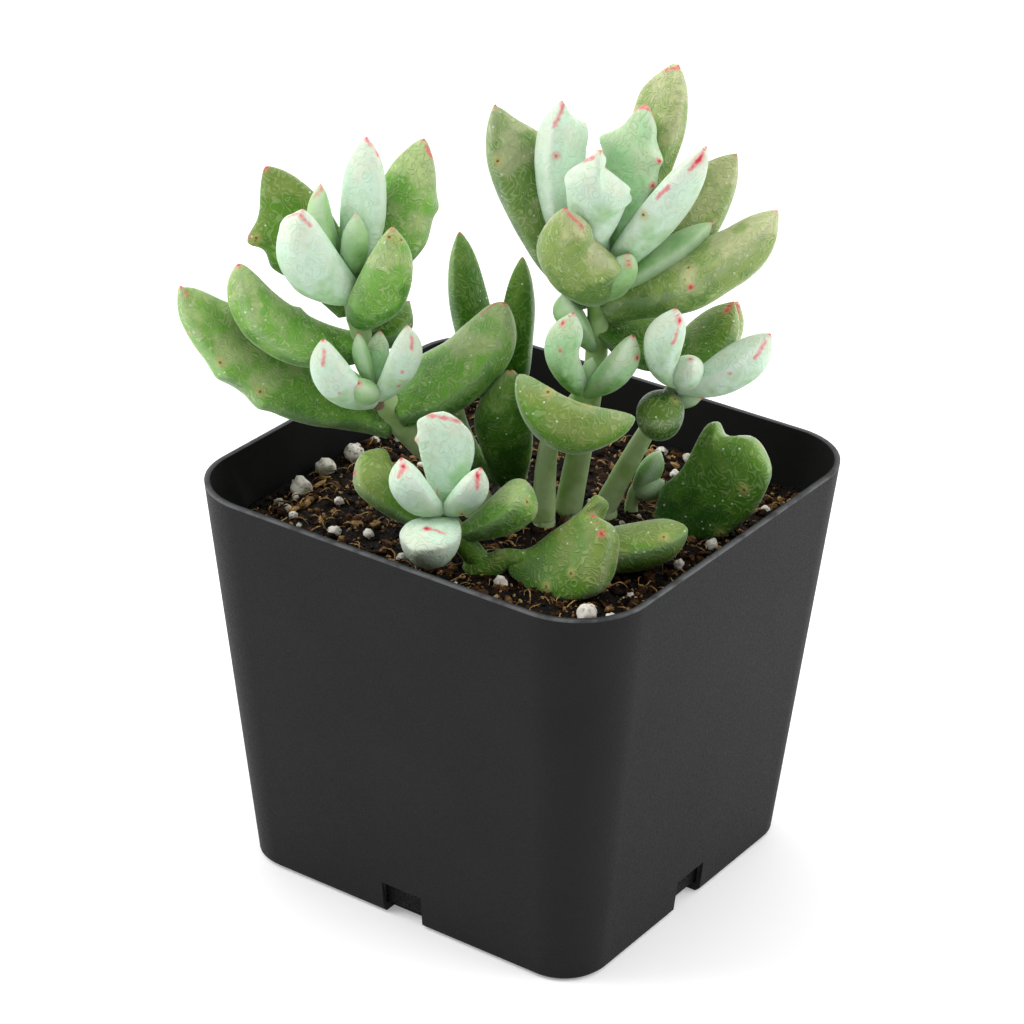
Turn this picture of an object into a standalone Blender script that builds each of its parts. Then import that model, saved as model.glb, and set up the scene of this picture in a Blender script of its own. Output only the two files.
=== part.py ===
# Potted cotyledon: a small branched succulent with plump, toothed leaves, in a square nursery pot.
# Metres, +Z up. The origin is the middle of the pot's foot, on the surface that it stands on.
# The pot's front side faces -Y and its right side faces +X.

import math
import random
from collections import namedtuple

import bmesh
import bpy
from mathutils import Matrix, Vector, noise

MM = 0.001
GAP = 0.3 * MM

POT_HEIGHT = 75.2 * MM
RIM_WIDTH, RIM_DEPTH = 88.0 * MM, 84.5 * MM
FOOT_WIDTH, FOOT_DEPTH = 73.4 * MM, 69.1 * MM
RIM_CORNER, FOOT_CORNER = 13.6 * MM, 8.6 * MM
FOOT_ROUND = 0.8 * MM
WALL = 1.4 * MM
FLOOR = 1.6 * MM
CORNER_STEPS = 6

NOTCH_WIDTH, NOTCH_HEIGHT = 8.4 * MM, 6.6 * MM
NOTCH_REACH = 9.0 * MM

SOIL_TOP = 65.3 * MM
SOIL_WALL_GAP = 0.45 * MM
SOIL_CELLS = 26
SOIL_LUMP = 4.5 * MM
SOIL_ROUGHNESS = 0.9 * MM
SOIL_RIM_ROLL = 0.8 * MM
GRAIN_COUNT = 26
GRAIN_RADIUS = 2.4 * MM
GRAIN_RISE = 1.3 * MM
GRAIN_SIZES = (0.6, 1.0)
GRAIN_MARGIN = 8.0 * MM
GRAIN_SEED = 7

STEM_BEVEL_STEPS = 1
STEM_STEPS = 3
ROOT_DEPTH = 8.0 * MM
ROOT_HOLE_SIDES = 16
ROOT_HOLE_GAP = 0.6 * MM

# Shares of a leaf: the length in which its root closes, how far along it a tooth reaches, and
# how much of its thickness lies above its line.
ROOT_CLOSES = 0.03
TOOTH_REACH = 0.06
UPPER_SHARE = 0.38

# A surface: its colour and its roughness.
SURFACES = {
    "pot": ((0.022, 0.023, 0.025), 0.55),
    "soil": ((0.030, 0.019, 0.012), 0.95),
    "mint": ((0.48, 0.66, 0.50), 0.5),
    "green": ((0.13, 0.24, 0.07), 0.5),
    "olive": ((0.28, 0.33, 0.15), 0.5),
}

# A leaf kind: how wide its root is, where it is widest, how full it stays from there on, how
# blunt its tip is (shares and powers of the leaf's size), and its facets around and along.
Kind = namedtuple("Kind", "neck widest fullness blunt around along")
KINDS = {
    "mature": Kind(neck=0.55, widest=0.50, fullness=1.4, blunt=0.60, around=10, along=12),
    "young": Kind(neck=0.38, widest=0.54, fullness=1.4, blunt=0.62, around=10, along=10),
    "paddle": Kind(neck=0.32, widest=0.74, fullness=1.4, blunt=0.50, around=10, along=11),
    "bud": Kind(neck=0.50, widest=0.50, fullness=1.2, blunt=0.50, around=8, along=7),
}

# A leaf: where it leaves its stem (height above the ground, mm), its compass heading and its rise
# over the level (degrees), its length, width and thickness (mm), how far it curls up along its
# length and how it is rolled about its own line (degrees), and its teeth. A tooth is a place
# along the leaf (0 to 1), a side (-1 right, 0 tip, 1 left as seen from the root) and a size (mm).
Leaf = namedtuple("Leaf", "kind height heading rise length width thickness curl roll teeth",
                  defaults=(0, 0, ()))

# A shoot: its surface, its stem's route from the soil up and the stem's radius at both ends (mm),
# whether it stands in the soil, and its leaves.
Shoot = namedtuple("Shoot", "surface route foot_radius top_radius rooted leaves")

SHOOTS = {
    "left_branch": Shoot("green", (
        (-8, -3, 68), (-14, -8, 76.5), (-18, -12.5, 83.5), (-20.5, -14.5, 90), (-23.5, -15.5, 99),
        (-26, -15.5, 107), (-27, -15, 110)), 2.6, 1.5, True, (
        Leaf("mature", 83, -142, 35, 46.5, 15, 11.5, 50, -35, ((0.5, 1, 1.0), (0.68, 1, 1.0))),
        Leaf("mature", 86, 43, 44, 28, 12.5, 10.5, 45, 10, ((0.86, 1, 1.0),)),
        Leaf("mature", 97.5, -135, 37, 28, 12.5, 9.5, 55, -30, ((0.55, -1, 1.0),)),
        Leaf("mature", 98, 75, 27, 11.5, 8, 6, 10),
        Leaf("mature", 103, -174, 52, 29.5, 11.5, 7, 15, -55, ((0.38, 1, 3.0), (0.64, 1, 1.2))),
        Leaf("mature", 105, 63, 64, 30.5, 11, 7, 15, 20, ((0.75, -1, 1.6), (0.55, -1, 0.8))),
        Leaf("mature", 102, -10, 66, 22.5, 11, 8, 10, 0, ((0.84, -1, 1.0),)),
        Leaf("young", 104.5, -104, 60, 23.5, 14, 9, 25, 0, ((0.84, 1, 1.4), (1, 0, 0.6))),
        Leaf("young", 107, 90, 80, 27, 9.5, 6, 0, 0, ((0.84, 1, 0.6), (1, 0, 0.8))),
        Leaf("young", 108, -152, 75, 18, 7, 5, 0, 0, ((0.6, 1, 0.8),)),
        Leaf("young", 108, -13, 82, 13.5, 5, 4.5),
    )),
    "left_side_shoot": Shoot("mint", (
        (-18.8, -17.2, 88), (-18.6, -18.1, 90), (-18.4, -19.0, 93)), 1.2, 1.0, False, (
        Leaf("young", 89.5, -121, 47, 17, 8, 7.5, 60),
        Leaf("young", 90, -6, 67, 16.5, 8, 6.5, 25),
        Leaf("young", 92, -157, 75, 10, 3.5, 3.2),
        Leaf("bud", 90, -87, 26, 6.5, 4.5, 4.5),
    )),
    "rear_shoot": Shoot("green", (
        (-5, 3.5, 67), (-7.5, 4.5, 76), (-8, 5.5, 84)), 2.3, 1.8, True, (
        Leaf("mature", 80, 170, 70, 35.5, 10, 7, 10),
        Leaf("mature", 77, 100, 81, 32.5, 7.5, 7),
        Leaf("mature", 69, -57, 74, 25.5, 9.5, 7),
        Leaf("young", 75, -147, 38, 12.5, 5, 4),
    )),
    "right_branch": Shoot("green", (
        (5, 6.5, 67), (6.5, 8, 81), (8, 9, 94.5), (8, 9, 106), (8.5, 9, 112)), 2.4, 1.6, True, (
        Leaf("mature", 104, 24, 35.5, 36, 14, 11, 20, 10, ((0.5, -1, 0.8),)),
        Leaf("mature", 105, -161, 61, 39.5, 13, 9, 10, -30, ((0.84, -1, 2.0), (0.6, -1, 0.8))),
        Leaf("mature", 108, 76, 67, 40, 12.5, 8, 10),
        Leaf("mature", 105, 55, 45, 35, 12, 8, 15, 20),
        Leaf("mature", 104, -93, 64, 24, 12.5, 8, 10, 0, ((0.8, -1, 0.6),)),
        Leaf("young", 108, 36, 34, 22.5, 8, 6, 10),
        Leaf("young", 109, -145, 76, 33, 11.5, 9, 10, -40,
             ((0.84, -1, 2.2), (0.5, 1, 0.8), (1, 0, 0.8))),
        Leaf("young", 111, 68, 74, 30, 11, 7, 0, 10,
             ((0.85, 1, 1.0), (0.9, -1, 1.2), (0.72, -1, 1.6), (1, 0, 0.8))),
        Leaf("young", 110, 23, 56, 31, 10, 8, 0, -15,
             ((0.52, 1, 1.2), (0.7, 1, 1.2), (1, 0, 1.0))),
        Leaf("young", 111, -62, 77, 24, 11.5, 7, 0, 0,
             ((0.84, 1, 1.4), (0.7, -1, 2.4), (1, 0, 0.8))),
        Leaf("young", 106, -21, 52, 13, 7, 6),
        Leaf("young", 98, -113, 51, 11.5, 9, 5.5),
    )),
    "middle_shoot": Shoot("olive", (
        (3.5, 0.8, 67), (4, 1, 79), (6.2, 1.7, 85.5), (9.7, 2, 91)), 2.2, 1.3, True, (
        Leaf("paddle", 84, -46, 32, 20, 22, 9.5, 15, -28, ((1, 0, 1.0),)),
        Leaf("young", 90.5, -84, 72, 18.5, 7.5, 7, 20),
        Leaf("young", 90.5, 23, 47, 15.5, 7.6, 7, 20),
        Leaf("bud", 90.8, 63, 74, 6.5, 3, 3),
    )),
    "right_side_shoot": Shoot("mint", (
        (10.5, 9.8, 67), (15.5, 12.6, 80), (20.3, 14.2, 90), (21.7, 15, 92.7)), 2.1, 1.2, True, (
        Leaf("young", 92, -66, 62, 19.5, 8.5, 7, 20),
        Leaf("young", 92, 67, 52, 16, 10.5, 7),
        Leaf("mature", 92, 78, 39, 17, 10, 6),
        Leaf("young", 91, 21, 37, 20.5, 10, 9, 15),
        Leaf("bud", 92, -46, 41, 10.5, 6.5, 6.5),
        Leaf("bud", 88.5, -67, -2, 10, 10, 9.5),
        Leaf("bud", 89, 1, 14, 6.5, 5, 4.5),
    )),
    "front_left_shoot": Shoot("mint", (
        (4.3, -20, 67), (2.3, -21.6, 70.7), (0.2, -23.4, 75), (-0.4, -24, 78)), 1.9, 1.4, True, (
        Leaf("paddle", 77, 126, 78, 17, 10.5, 5.5, 0, 0, ((0.84, 1, 1.0), (0.84, -1, 1.0))),
        Leaf("young", 76.5, -124, 56, 13.5, 8, 7, 20),
        Leaf("young", 76.5, 12, 54, 12, 6.2, 6, 20),
        Leaf("bud", 75, -80, -4, 11, 11, 9.5),
        Leaf("mature", 74, -161, 38, 19.5, 11, 8, 20, -20, ((0.7, 1, 0.6),)),
        Leaf("mature", 73, 36, 36, 17, 10, 8.5, 20),
    )),
    "front_low_shoot": Shoot("green", (
        (8.6, -18.4, 67), (9.6, -18.2, 71)), 1.8, 1.8, True, (
        Leaf("paddle", 69.8, 16, 18, 20, 18, 9, 20, 45,
             ((0.9, 1, 2.2), (0.9, -1, 2.2), (1, 0, -2.5))),
        Leaf("mature", 71, 39, 7, 30, 11, 8, 10),
    )),
    "right_low_shoot": Shoot("green", (
        (22.8, 12.0, 67), (23.3, 12.3, 69.5)), 2.0, 1.8, True, (
        Leaf("mature", 68.8, 37, 50, 18, 18.5, 9, 10, 14,
             ((0.88, 1, 3.0), (0.88, -1, 3.0), (1, 0, -1.0))),
    )),
    "small_sprout": Shoot("green", (
        (13.6, 13.2, 67), (14.4, 13.6, 70), (15.2, 14.0, 73)), 1.2, 1.0, True, (
        Leaf("bud", 69, 40, 68, 8.5, 5, 4.5),
        Leaf("bud", 69, 20, 25, 6, 5, 4.5),
    )),
}


def clear_scene():
    for obj in list(bpy.data.objects):
        bpy.data.objects.remove(obj, do_unlink=True)


def new_collection(name):
    collection = bpy.data.collections.new(name)
    bpy.context.scene.collection.children.link(collection)
    return collection


def finish(obj, name, surface):
    """Give the object one material of its own, for one of the surfaces."""
    colour, roughness = SURFACES[surface]
    material = bpy.data.materials.new(name)
    material.use_nodes = True
    shader = material.node_tree.nodes["Principled BSDF"]
    shader.inputs["Base Color"].default_value = (*colour, 1.0)
    shader.inputs["Roughness"].default_value = roughness
    shader.inputs["Metallic"].default_value = 0.0
    material.diffuse_color = (*colour, 1.0)
    obj.data.materials.clear()
    obj.data.materials.append(material)


def object_from_bmesh(name, bm, collection):
    mesh = bpy.data.meshes.new(name)
    bm.to_mesh(mesh)
    bm.free()
    obj = bpy.data.objects.new(name, mesh)
    collection.objects.link(obj)
    return obj


def bake_modifiers(obj):
    """Replace the object's mesh by the one its modifiers make, and drop the modifiers."""
    depsgraph = bpy.context.evaluated_depsgraph_get()
    mesh = bpy.data.meshes.new_from_object(obj.evaluated_get(depsgraph), depsgraph=depsgraph)
    obj.modifiers.clear()
    old = obj.data
    obj.data = mesh
    bpy.data.meshes.remove(old)


def shade_round(obj, angle):
    obj.data.shade_smooth()
    obj.data.set_sharp_from_angle(angle=math.radians(angle))


def rounded_outline(width, depth, corner, z):
    """Points of a rectangle with round corners, anticlockwise from above."""
    points = []
    corners = ((1, 1, 0), (-1, 1, 90), (-1, -1, 180), (1, -1, 270))
    for side_x, side_y, start in corners:
        centre = Vector((side_x * (width / 2 - corner), side_y * (depth / 2 - corner), z))
        for step in range(CORNER_STEPS + 1):
            angle = math.radians(start + 90 * step / CORNER_STEPS)
            points.append(centre + corner * Vector((math.cos(angle), math.sin(angle), 0)))
    return points


def pot_section(z, inset):
    """The pot's outline at a height, moved in from the outer face."""
    share = z / POT_HEIGHT
    width = FOOT_WIDTH + (RIM_WIDTH - FOOT_WIDTH) * share - 2 * inset
    depth = FOOT_DEPTH + (RIM_DEPTH - FOOT_DEPTH) * share - 2 * inset
    corner = FOOT_CORNER + (RIM_CORNER - FOOT_CORNER) * share - inset
    return width, depth, corner


def loft(rings):
    """A closed body through rings of points, capped at both ends."""
    bm = bmesh.new()
    loops = [[bm.verts.new(point) for point in ring] for ring in rings]
    count = len(loops[0])
    for lower, upper in zip(loops, loops[1:]):
        for i in range(count):
            j = (i + 1) % count
            bm.faces.new((lower[i], lower[j], upper[j], upper[i]))
    bm.faces.new(list(reversed(loops[0])))
    bm.faces.new(loops[-1])
    bmesh.ops.recalc_face_normals(bm, faces=bm.faces)
    return bm


def notch_cutters(cutters):
    """Four blocks that cut the drain notches at the middle of each side of the foot."""
    blocks = []
    for quarter, span in enumerate((FOOT_WIDTH, FOOT_DEPTH, FOOT_WIDTH, FOOT_DEPTH)):
        bm = bmesh.new()
        bmesh.ops.create_cube(bm, size=1.0)
        bmesh.ops.scale(bm, vec=(2 * NOTCH_REACH, NOTCH_WIDTH, 2 * NOTCH_HEIGHT), verts=bm.verts)
        bmesh.ops.translate(bm, vec=(span / 2, 0, 0), verts=bm.verts)
        turn = Matrix.Rotation(quarter * math.pi / 2, 4, "Z")
        bmesh.ops.transform(bm, matrix=turn, verts=bm.verts)
        block = object_from_bmesh(f"notch_block_{quarter + 1}", bm, cutters)
        hide_cutter(block)
        blocks.append(block)
    return blocks


def hide_cutter(obj):
    obj.hide_render = True
    obj.display_type = "WIRE"


def cut(obj, cutter):
    modifier = obj.modifiers.new("Cut by " + cutter.name, "BOOLEAN")
    modifier.operation = "DIFFERENCE"
    modifier.solver = "EXACT"
    modifier.object = cutter


def build_pot(collection, cutters):
    rings = [
        rounded_outline(*pot_section(0.0, FOOT_ROUND), 0.0),
        rounded_outline(*pot_section(FOOT_ROUND, 0.0), FOOT_ROUND),
        rounded_outline(*pot_section(POT_HEIGHT, 0.0), POT_HEIGHT),
        rounded_outline(*pot_section(POT_HEIGHT, WALL), POT_HEIGHT),
        rounded_outline(*pot_section(FLOOR, WALL), FLOOR),
    ]
    pot = object_from_bmesh("pot", loft(rings), collection)
    for block in notch_cutters(cutters):
        cut(pot, block)
    bake_modifiers(pot)
    finish(pot, "pot plastic", "pot")
    shade_round(pot, 35)


def onto_rounded_square(u, v, width, depth, corner):
    """Map a point of the square from -1 to 1 onto a rectangle with round corners."""
    reach = max(abs(u), abs(v))
    if reach < 1e-9:
        return 0.0, 0.0
    x, y = u / reach * width / 2, v / reach * depth / 2
    over_x, over_y = abs(x) - (width / 2 - corner), abs(y) - (depth / 2 - corner)
    if over_x > 0 and over_y > 0:
        shrink = corner / math.hypot(over_x, over_y)
        x = math.copysign(width / 2 - corner + over_x * shrink, x)
        y = math.copysign(depth / 2 - corner + over_y * shrink, y)
    return x * reach, y * reach


def grain_places():
    """Seeded places of the white grains that stand out of the soil."""
    rng = random.Random(GRAIN_SEED)
    half_width, half_depth = RIM_WIDTH / 2 - GRAIN_MARGIN, RIM_DEPTH / 2 - GRAIN_MARGIN
    return [(rng.uniform(-half_width, half_width), rng.uniform(-half_depth, half_depth),
             rng.uniform(*GRAIN_SIZES)) for _ in range(GRAIN_COUNT)]


def soil_height(x, y, reach, grains):
    """The soil's surface: rough, lower at the wall, with grains standing out of it."""
    coarse = noise.noise(Vector((x, y, 0.0)) / SOIL_LUMP)
    fine = noise.noise(Vector((x, y, SOIL_LUMP)) * 2 / SOIL_LUMP)
    height = SOIL_TOP + SOIL_ROUGHNESS * (coarse + 0.5 * fine) - SOIL_RIM_ROLL * reach ** 4
    for grain_x, grain_y, size in grains:
        distance = math.hypot(x - grain_x, y - grain_y) / (GRAIN_RADIUS * size)
        height += GRAIN_RISE * size * math.exp(-distance ** 4)
    return height


def build_soil(collection, cutters):
    grains = grain_places()
    top = pot_section(SOIL_TOP, WALL + SOIL_WALL_GAP)
    base = pot_section(FLOOR + GAP, WALL + SOIL_WALL_GAP)
    bm = bmesh.new()
    bmesh.ops.create_grid(bm, x_segments=SOIL_CELLS, y_segments=SOIL_CELLS, size=1.0)
    upper = list(bm.verts)
    edges = [edge for edge in bm.edges if edge.is_boundary]
    rim = {vert for edge in edges for vert in edge.verts}
    side = bmesh.ops.extrude_edge_only(bm, edges=edges)["geom"]
    lower = [item for item in side if isinstance(item, bmesh.types.BMVert)]
    bmesh.ops.contextual_create(bm, geom=[edge for edge in bm.edges if edge.is_boundary])
    for vert in lower:
        x, y = onto_rounded_square(vert.co.x, vert.co.y, *base)
        vert.co = Vector((x, y, FLOOR + GAP))
    for vert in upper:
        reach = max(abs(vert.co.x), abs(vert.co.y))
        x, y = onto_rounded_square(vert.co.x, vert.co.y, *top)
        height = SOIL_TOP - SOIL_RIM_ROLL if vert in rim else soil_height(x, y, reach, grains)
        vert.co = Vector((x, y, height))
    bmesh.ops.recalc_face_normals(bm, faces=bm.faces)
    soil = object_from_bmesh("soil", bm, collection)
    for name, shoot in SHOOTS.items():
        if shoot.rooted:
            cut(soil, root_hole(name, shoot, cutters))
    bake_modifiers(soil)
    finish(soil, "soil", "soil")


def root_hole(name, shoot, cutters):
    """The plain upright hole that a shoot's foot stands in."""
    x, y, _ = shoot.route[0]
    bm = bmesh.new()
    radius = shoot.foot_radius * MM + ROOT_HOLE_GAP
    height = 2 * ROOT_DEPTH
    bmesh.ops.create_cone(bm, segments=ROOT_HOLE_SIDES, cap_ends=True, radius1=radius, radius2=radius,
                          depth=height)
    centre = SOIL_TOP - ROOT_DEPTH - GAP + height / 2
    bmesh.ops.translate(bm, vec=(x * MM, y * MM, centre), verts=bm.verts)
    hole = object_from_bmesh("hole_for_" + name, bm, cutters)
    hide_cutter(hole)
    return hole


def stem_points(shoot):
    """The stem's route in metres, with the straight root below the soil."""
    route = [Vector(point) * MM for point in shoot.route]
    if shoot.rooted:
        x, y, _ = route[0]
        route[:0] = [Vector((x, y, SOIL_TOP - ROOT_DEPTH)), Vector((x, y, SOIL_TOP))]
    return route


def smooth_route(points):
    """A smooth curve through the points, as many more points."""
    ends = [2 * points[0] - points[1]] + points + [2 * points[-1] - points[-2]]
    result = []
    for before, start, end, after in zip(ends, ends[1:], ends[2:], ends[3:]):
        for step in range(STEM_STEPS):
            t = step / STEM_STEPS
            result.append(0.5 * ((2 * start) + (end - before) * t
                                 + (2 * before - 5 * start + 4 * end - after) * t ** 2
                                 + (3 * start - before - 3 * end + after) * t ** 3))
    result.append(points[-1].copy())
    return result


def build_stem(name, shoot, collection):
    points = smooth_route(stem_points(shoot))
    curve = bpy.data.curves.new(name + "_stem", "CURVE")
    curve.dimensions = "3D"
    curve.bevel_depth = MM
    curve.bevel_resolution = STEM_BEVEL_STEPS
    curve.use_fill_caps = True
    spline = curve.splines.new("POLY")
    spline.points.add(len(points) - 1)
    low, high = points[0].z, points[-1].z
    for point, place in zip(spline.points, points):
        share = (place.z - low) / (high - low)
        point.co = (*place, 1.0)
        point.radius = shoot.foot_radius + (shoot.top_radius - shoot.foot_radius) * share
    line = bpy.data.objects.new(name + "_line", curve)
    collection.objects.link(line)
    depsgraph = bpy.context.evaluated_depsgraph_get()
    mesh = bpy.data.meshes.new_from_object(line.evaluated_get(depsgraph))
    bm = bmesh.new()
    bm.from_mesh(mesh)
    bmesh.ops.remove_doubles(bm, verts=bm.verts, dist=0.01 * MM)
    bmesh.ops.recalc_face_normals(bm, faces=bm.faces)
    bpy.data.objects.remove(line, do_unlink=True)
    bpy.data.meshes.remove(mesh)
    return object_from_bmesh(name, bm, collection)


def point_at_height(points, height):
    """The point of a rising route at a height."""
    for low, high in zip(points, points[1:]):
        if low.z <= height <= high.z:
            return low.lerp(high, (height - low.z) / (high.z - low.z))
    return points[-1].copy()


def leaf_width(kind, t):
    """Half the leaf's width at a place along it, as a share of its greatest half width."""
    if t < kind.widest:
        closed_root = min(1.0, math.sqrt(t / ROOT_CLOSES))
        return closed_root * (kind.neck + (1 - kind.neck) * math.sin(math.pi / 2 * t / kind.widest))
    beyond = ((t - kind.widest) / (1 - kind.widest)) ** kind.fullness
    return max(0.0, math.cos(math.pi / 2 * min(beyond, 1.0))) ** kind.blunt


def edge_push(leaf, t, side):
    """How far the teeth move a point of the leaf's edge out, in metres."""
    push = 0.0
    for place, tooth_side, size in leaf.teeth:
        if tooth_side * side > 0:
            push += size * MM * math.exp(-((t - place) / TOOTH_REACH) ** 2) * abs(side) ** 3
    return push


def tip_push(leaf, t, side):
    """How far the tip's tooth or notch moves a point along the leaf, in metres."""
    push = 0.0
    for place, tooth_side, size in leaf.teeth:
        if tooth_side == 0:
            push += size * MM * math.exp(-((t - place) / TOOTH_REACH) ** 2) * (1 - abs(side)) ** 2
    return push


def leaf_frame(root, leaf):
    """The leaf's root, with its line along X, its left along Y and its upper face towards Z."""
    return (Matrix.Translation(root) @ Matrix.Rotation(math.radians(leaf.heading), 4, "Z")
            @ Matrix.Rotation(-math.radians(leaf.rise), 4, "Y")
            @ Matrix.Rotation(math.radians(leaf.roll), 4, "X"))


def curled(leaf, t, offset):
    """A point of the leaf's curled line, moved along the upper face's direction there."""
    length, curl = leaf.length * MM, math.radians(leaf.curl)
    turn = curl * (t - 0.5)
    if abs(curl) < 1e-4:
        return Vector((length * t, 0.0, offset))
    radius = length / curl
    x = radius * (math.sin(turn) - math.sin(-curl / 2))
    z = radius * (math.cos(-curl / 2) - math.cos(turn))
    return Vector((x - offset * math.sin(turn), 0.0, z + offset * math.cos(turn)))


def build_leaf(name, root, leaf, collection):
    """A plump leaf: a sphere drawn out along a curled line, flatter above than below."""
    kind = KINDS[leaf.kind]
    bm = bmesh.new()
    bmesh.ops.create_uvsphere(bm, u_segments=kind.around, v_segments=kind.along, radius=1.0)
    for vert in bm.verts:
        polar = math.acos(max(-1.0, min(1.0, -vert.co.z)))
        t = (1 - math.cos(polar)) / 2
        ring = math.hypot(vert.co.x, vert.co.y)
        side, above = (vert.co.x / ring, vert.co.y / ring) if ring > 1e-6 else (0.0, 0.0)
        share = leaf_width(kind, t) if ring > 1e-6 else 0.0
        half_width = leaf.width / 2 * MM * share
        depth = leaf.thickness * MM * share * (UPPER_SHARE if above > 0 else 1 - UPPER_SHARE)
        place = curled(leaf, t, depth * above)
        place.x += tip_push(leaf, t, side)
        place.y = half_width * side + math.copysign(edge_push(leaf, t, side), side)
        vert.co = place
    bmesh.ops.transform(bm, matrix=leaf_frame(root, leaf), verts=bm.verts)
    bmesh.ops.recalc_face_normals(bm, faces=bm.faces)
    return object_from_bmesh(name, bm, collection)


def keep_outer_skin(obj):
    """Drop the small skins that lie inside the outer one, so that no hollow is left."""
    bm = bmesh.new()
    bm.from_mesh(obj.data)
    left = set(bm.verts)
    skins = []
    while left:
        skin, edge_of_skin = set(), [left.pop()]
        while edge_of_skin:
            vert = edge_of_skin.pop()
            skin.add(vert)
            near = {edge.other_vert(vert) for edge in vert.link_edges} & left
            left -= near
            edge_of_skin.extend(near)
        skins.append(skin)
    skins.sort(key=len)
    for skin in skins[:-1]:
        bmesh.ops.delete(bm, geom=list(skin), context="VERTS")
    bm.to_mesh(obj.data)
    bm.free()


def build_shoot(name, shoot, collection):
    """A leafy stem in one piece: the stem with all its leaves grown together."""
    stem = build_stem(name, shoot, collection)
    route = smooth_route(stem_points(shoot))
    blades = new_collection("leaves of " + name)
    for number, leaf in enumerate(shoot.leaves, 1):
        root = point_at_height(route, leaf.height * MM)
        build_leaf(f"{name}_leaf_{number}", root, leaf, blades)
    union = stem.modifiers.new("Union", "BOOLEAN")
    union.operation = "UNION"
    union.operand_type = "COLLECTION"
    union.collection = blades
    union.solver = "MANIFOLD"
    bake_modifiers(stem)
    for blade in list(blades.objects):
        bpy.data.objects.remove(blade, do_unlink=True)
    bpy.data.collections.remove(blades)
    keep_outer_skin(stem)
    finish(stem, name.replace("_", " "), shoot.surface)
    shade_round(stem, 60)


def main():
    clear_scene()
    parts = new_collection("potted cotyledon")
    cutters = new_collection("cutters")
    build_pot(parts, cutters)
    build_soil(parts, cutters)
    for name, shoot in SHOOTS.items():
        build_shoot(name, shoot, parts)


main()
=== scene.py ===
# Potted cotyledon: a small branched succulent with plump, toothed, powdery leaves in a square
# nursery pot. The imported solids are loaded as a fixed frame, and each of them gets a finer piece.

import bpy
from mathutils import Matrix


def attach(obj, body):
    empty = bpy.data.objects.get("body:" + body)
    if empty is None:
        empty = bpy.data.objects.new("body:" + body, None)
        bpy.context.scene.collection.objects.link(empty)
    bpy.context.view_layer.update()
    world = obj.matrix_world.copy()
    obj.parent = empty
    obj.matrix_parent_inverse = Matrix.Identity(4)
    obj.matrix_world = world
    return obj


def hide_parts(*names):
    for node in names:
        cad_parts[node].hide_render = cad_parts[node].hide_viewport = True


bl_info = {
    "name": "Potted Cotyledon",
    "version": (0, 0, 0),
    "blender": (4, 5, 0),
    "location": "3D View > Sidebar > Cotyledon",
    "description": "Models a branched succulent with toothed, powdery leaves in a square nursery pot",
    "category": "Mesh",
}

import math
import random
from collections import namedtuple
from functools import partial

import bmesh
import bpy
import numpy as np
from bpy.props import FloatProperty, FloatVectorProperty, IntProperty, PointerProperty
from mathutils import Matrix, Vector, noise

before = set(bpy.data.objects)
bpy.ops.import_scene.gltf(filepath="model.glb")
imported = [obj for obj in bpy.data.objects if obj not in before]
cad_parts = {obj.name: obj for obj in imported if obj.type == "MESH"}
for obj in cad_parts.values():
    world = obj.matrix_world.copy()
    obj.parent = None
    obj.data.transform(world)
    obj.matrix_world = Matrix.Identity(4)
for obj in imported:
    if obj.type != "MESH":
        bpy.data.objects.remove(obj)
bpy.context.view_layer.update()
MM = 0.001
CORNER_STEPS = 14                        # facets in each corner of the pot
SOIL_CELLS = 150                         # cells along one side of the soil's surface
FLOOR_GAP = 0.3 * MM


def srgb(red, green, blue):
    """A screen colour, 0 to 255, as the linear colour that shaders use."""
    def linear(value):
        value /= 255
        return value / 12.92 if value <= 0.04045 else ((value + 0.055) / 1.055) ** 2.4
    return linear(red), linear(green), linear(blue)


# A leaf kind: how wide its root is, where it is widest, how full it stays from there on, how blunt
# its tip is and how much of its thickness lies above its margins, as shares and powers.
Kind = namedtuple("Kind", "neck widest fullness blunt upper")
KINDS = {
    "mature": Kind(0.55, 0.50, 1.4, 0.60, 0.25),
    "young": Kind(0.38, 0.54, 1.4, 0.62, 0.30),
    "paddle": Kind(0.32, 0.74, 1.4, 0.50, 0.25),
    "fan": Kind(0.15, 0.68, 1.4, 0.52, 0.30),
    "spade": Kind(0.32, 0.80, 1.4, 0.38, 0.28),
    "drop": Kind(0.50, 0.36, 1.3, 0.66, 0.35),
    "bud": Kind(0.50, 0.50, 1.2, 0.50, 0.42),
    "cap": Kind(0.50, 0.50, 1.2, 0.50, 0.22),
}

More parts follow.
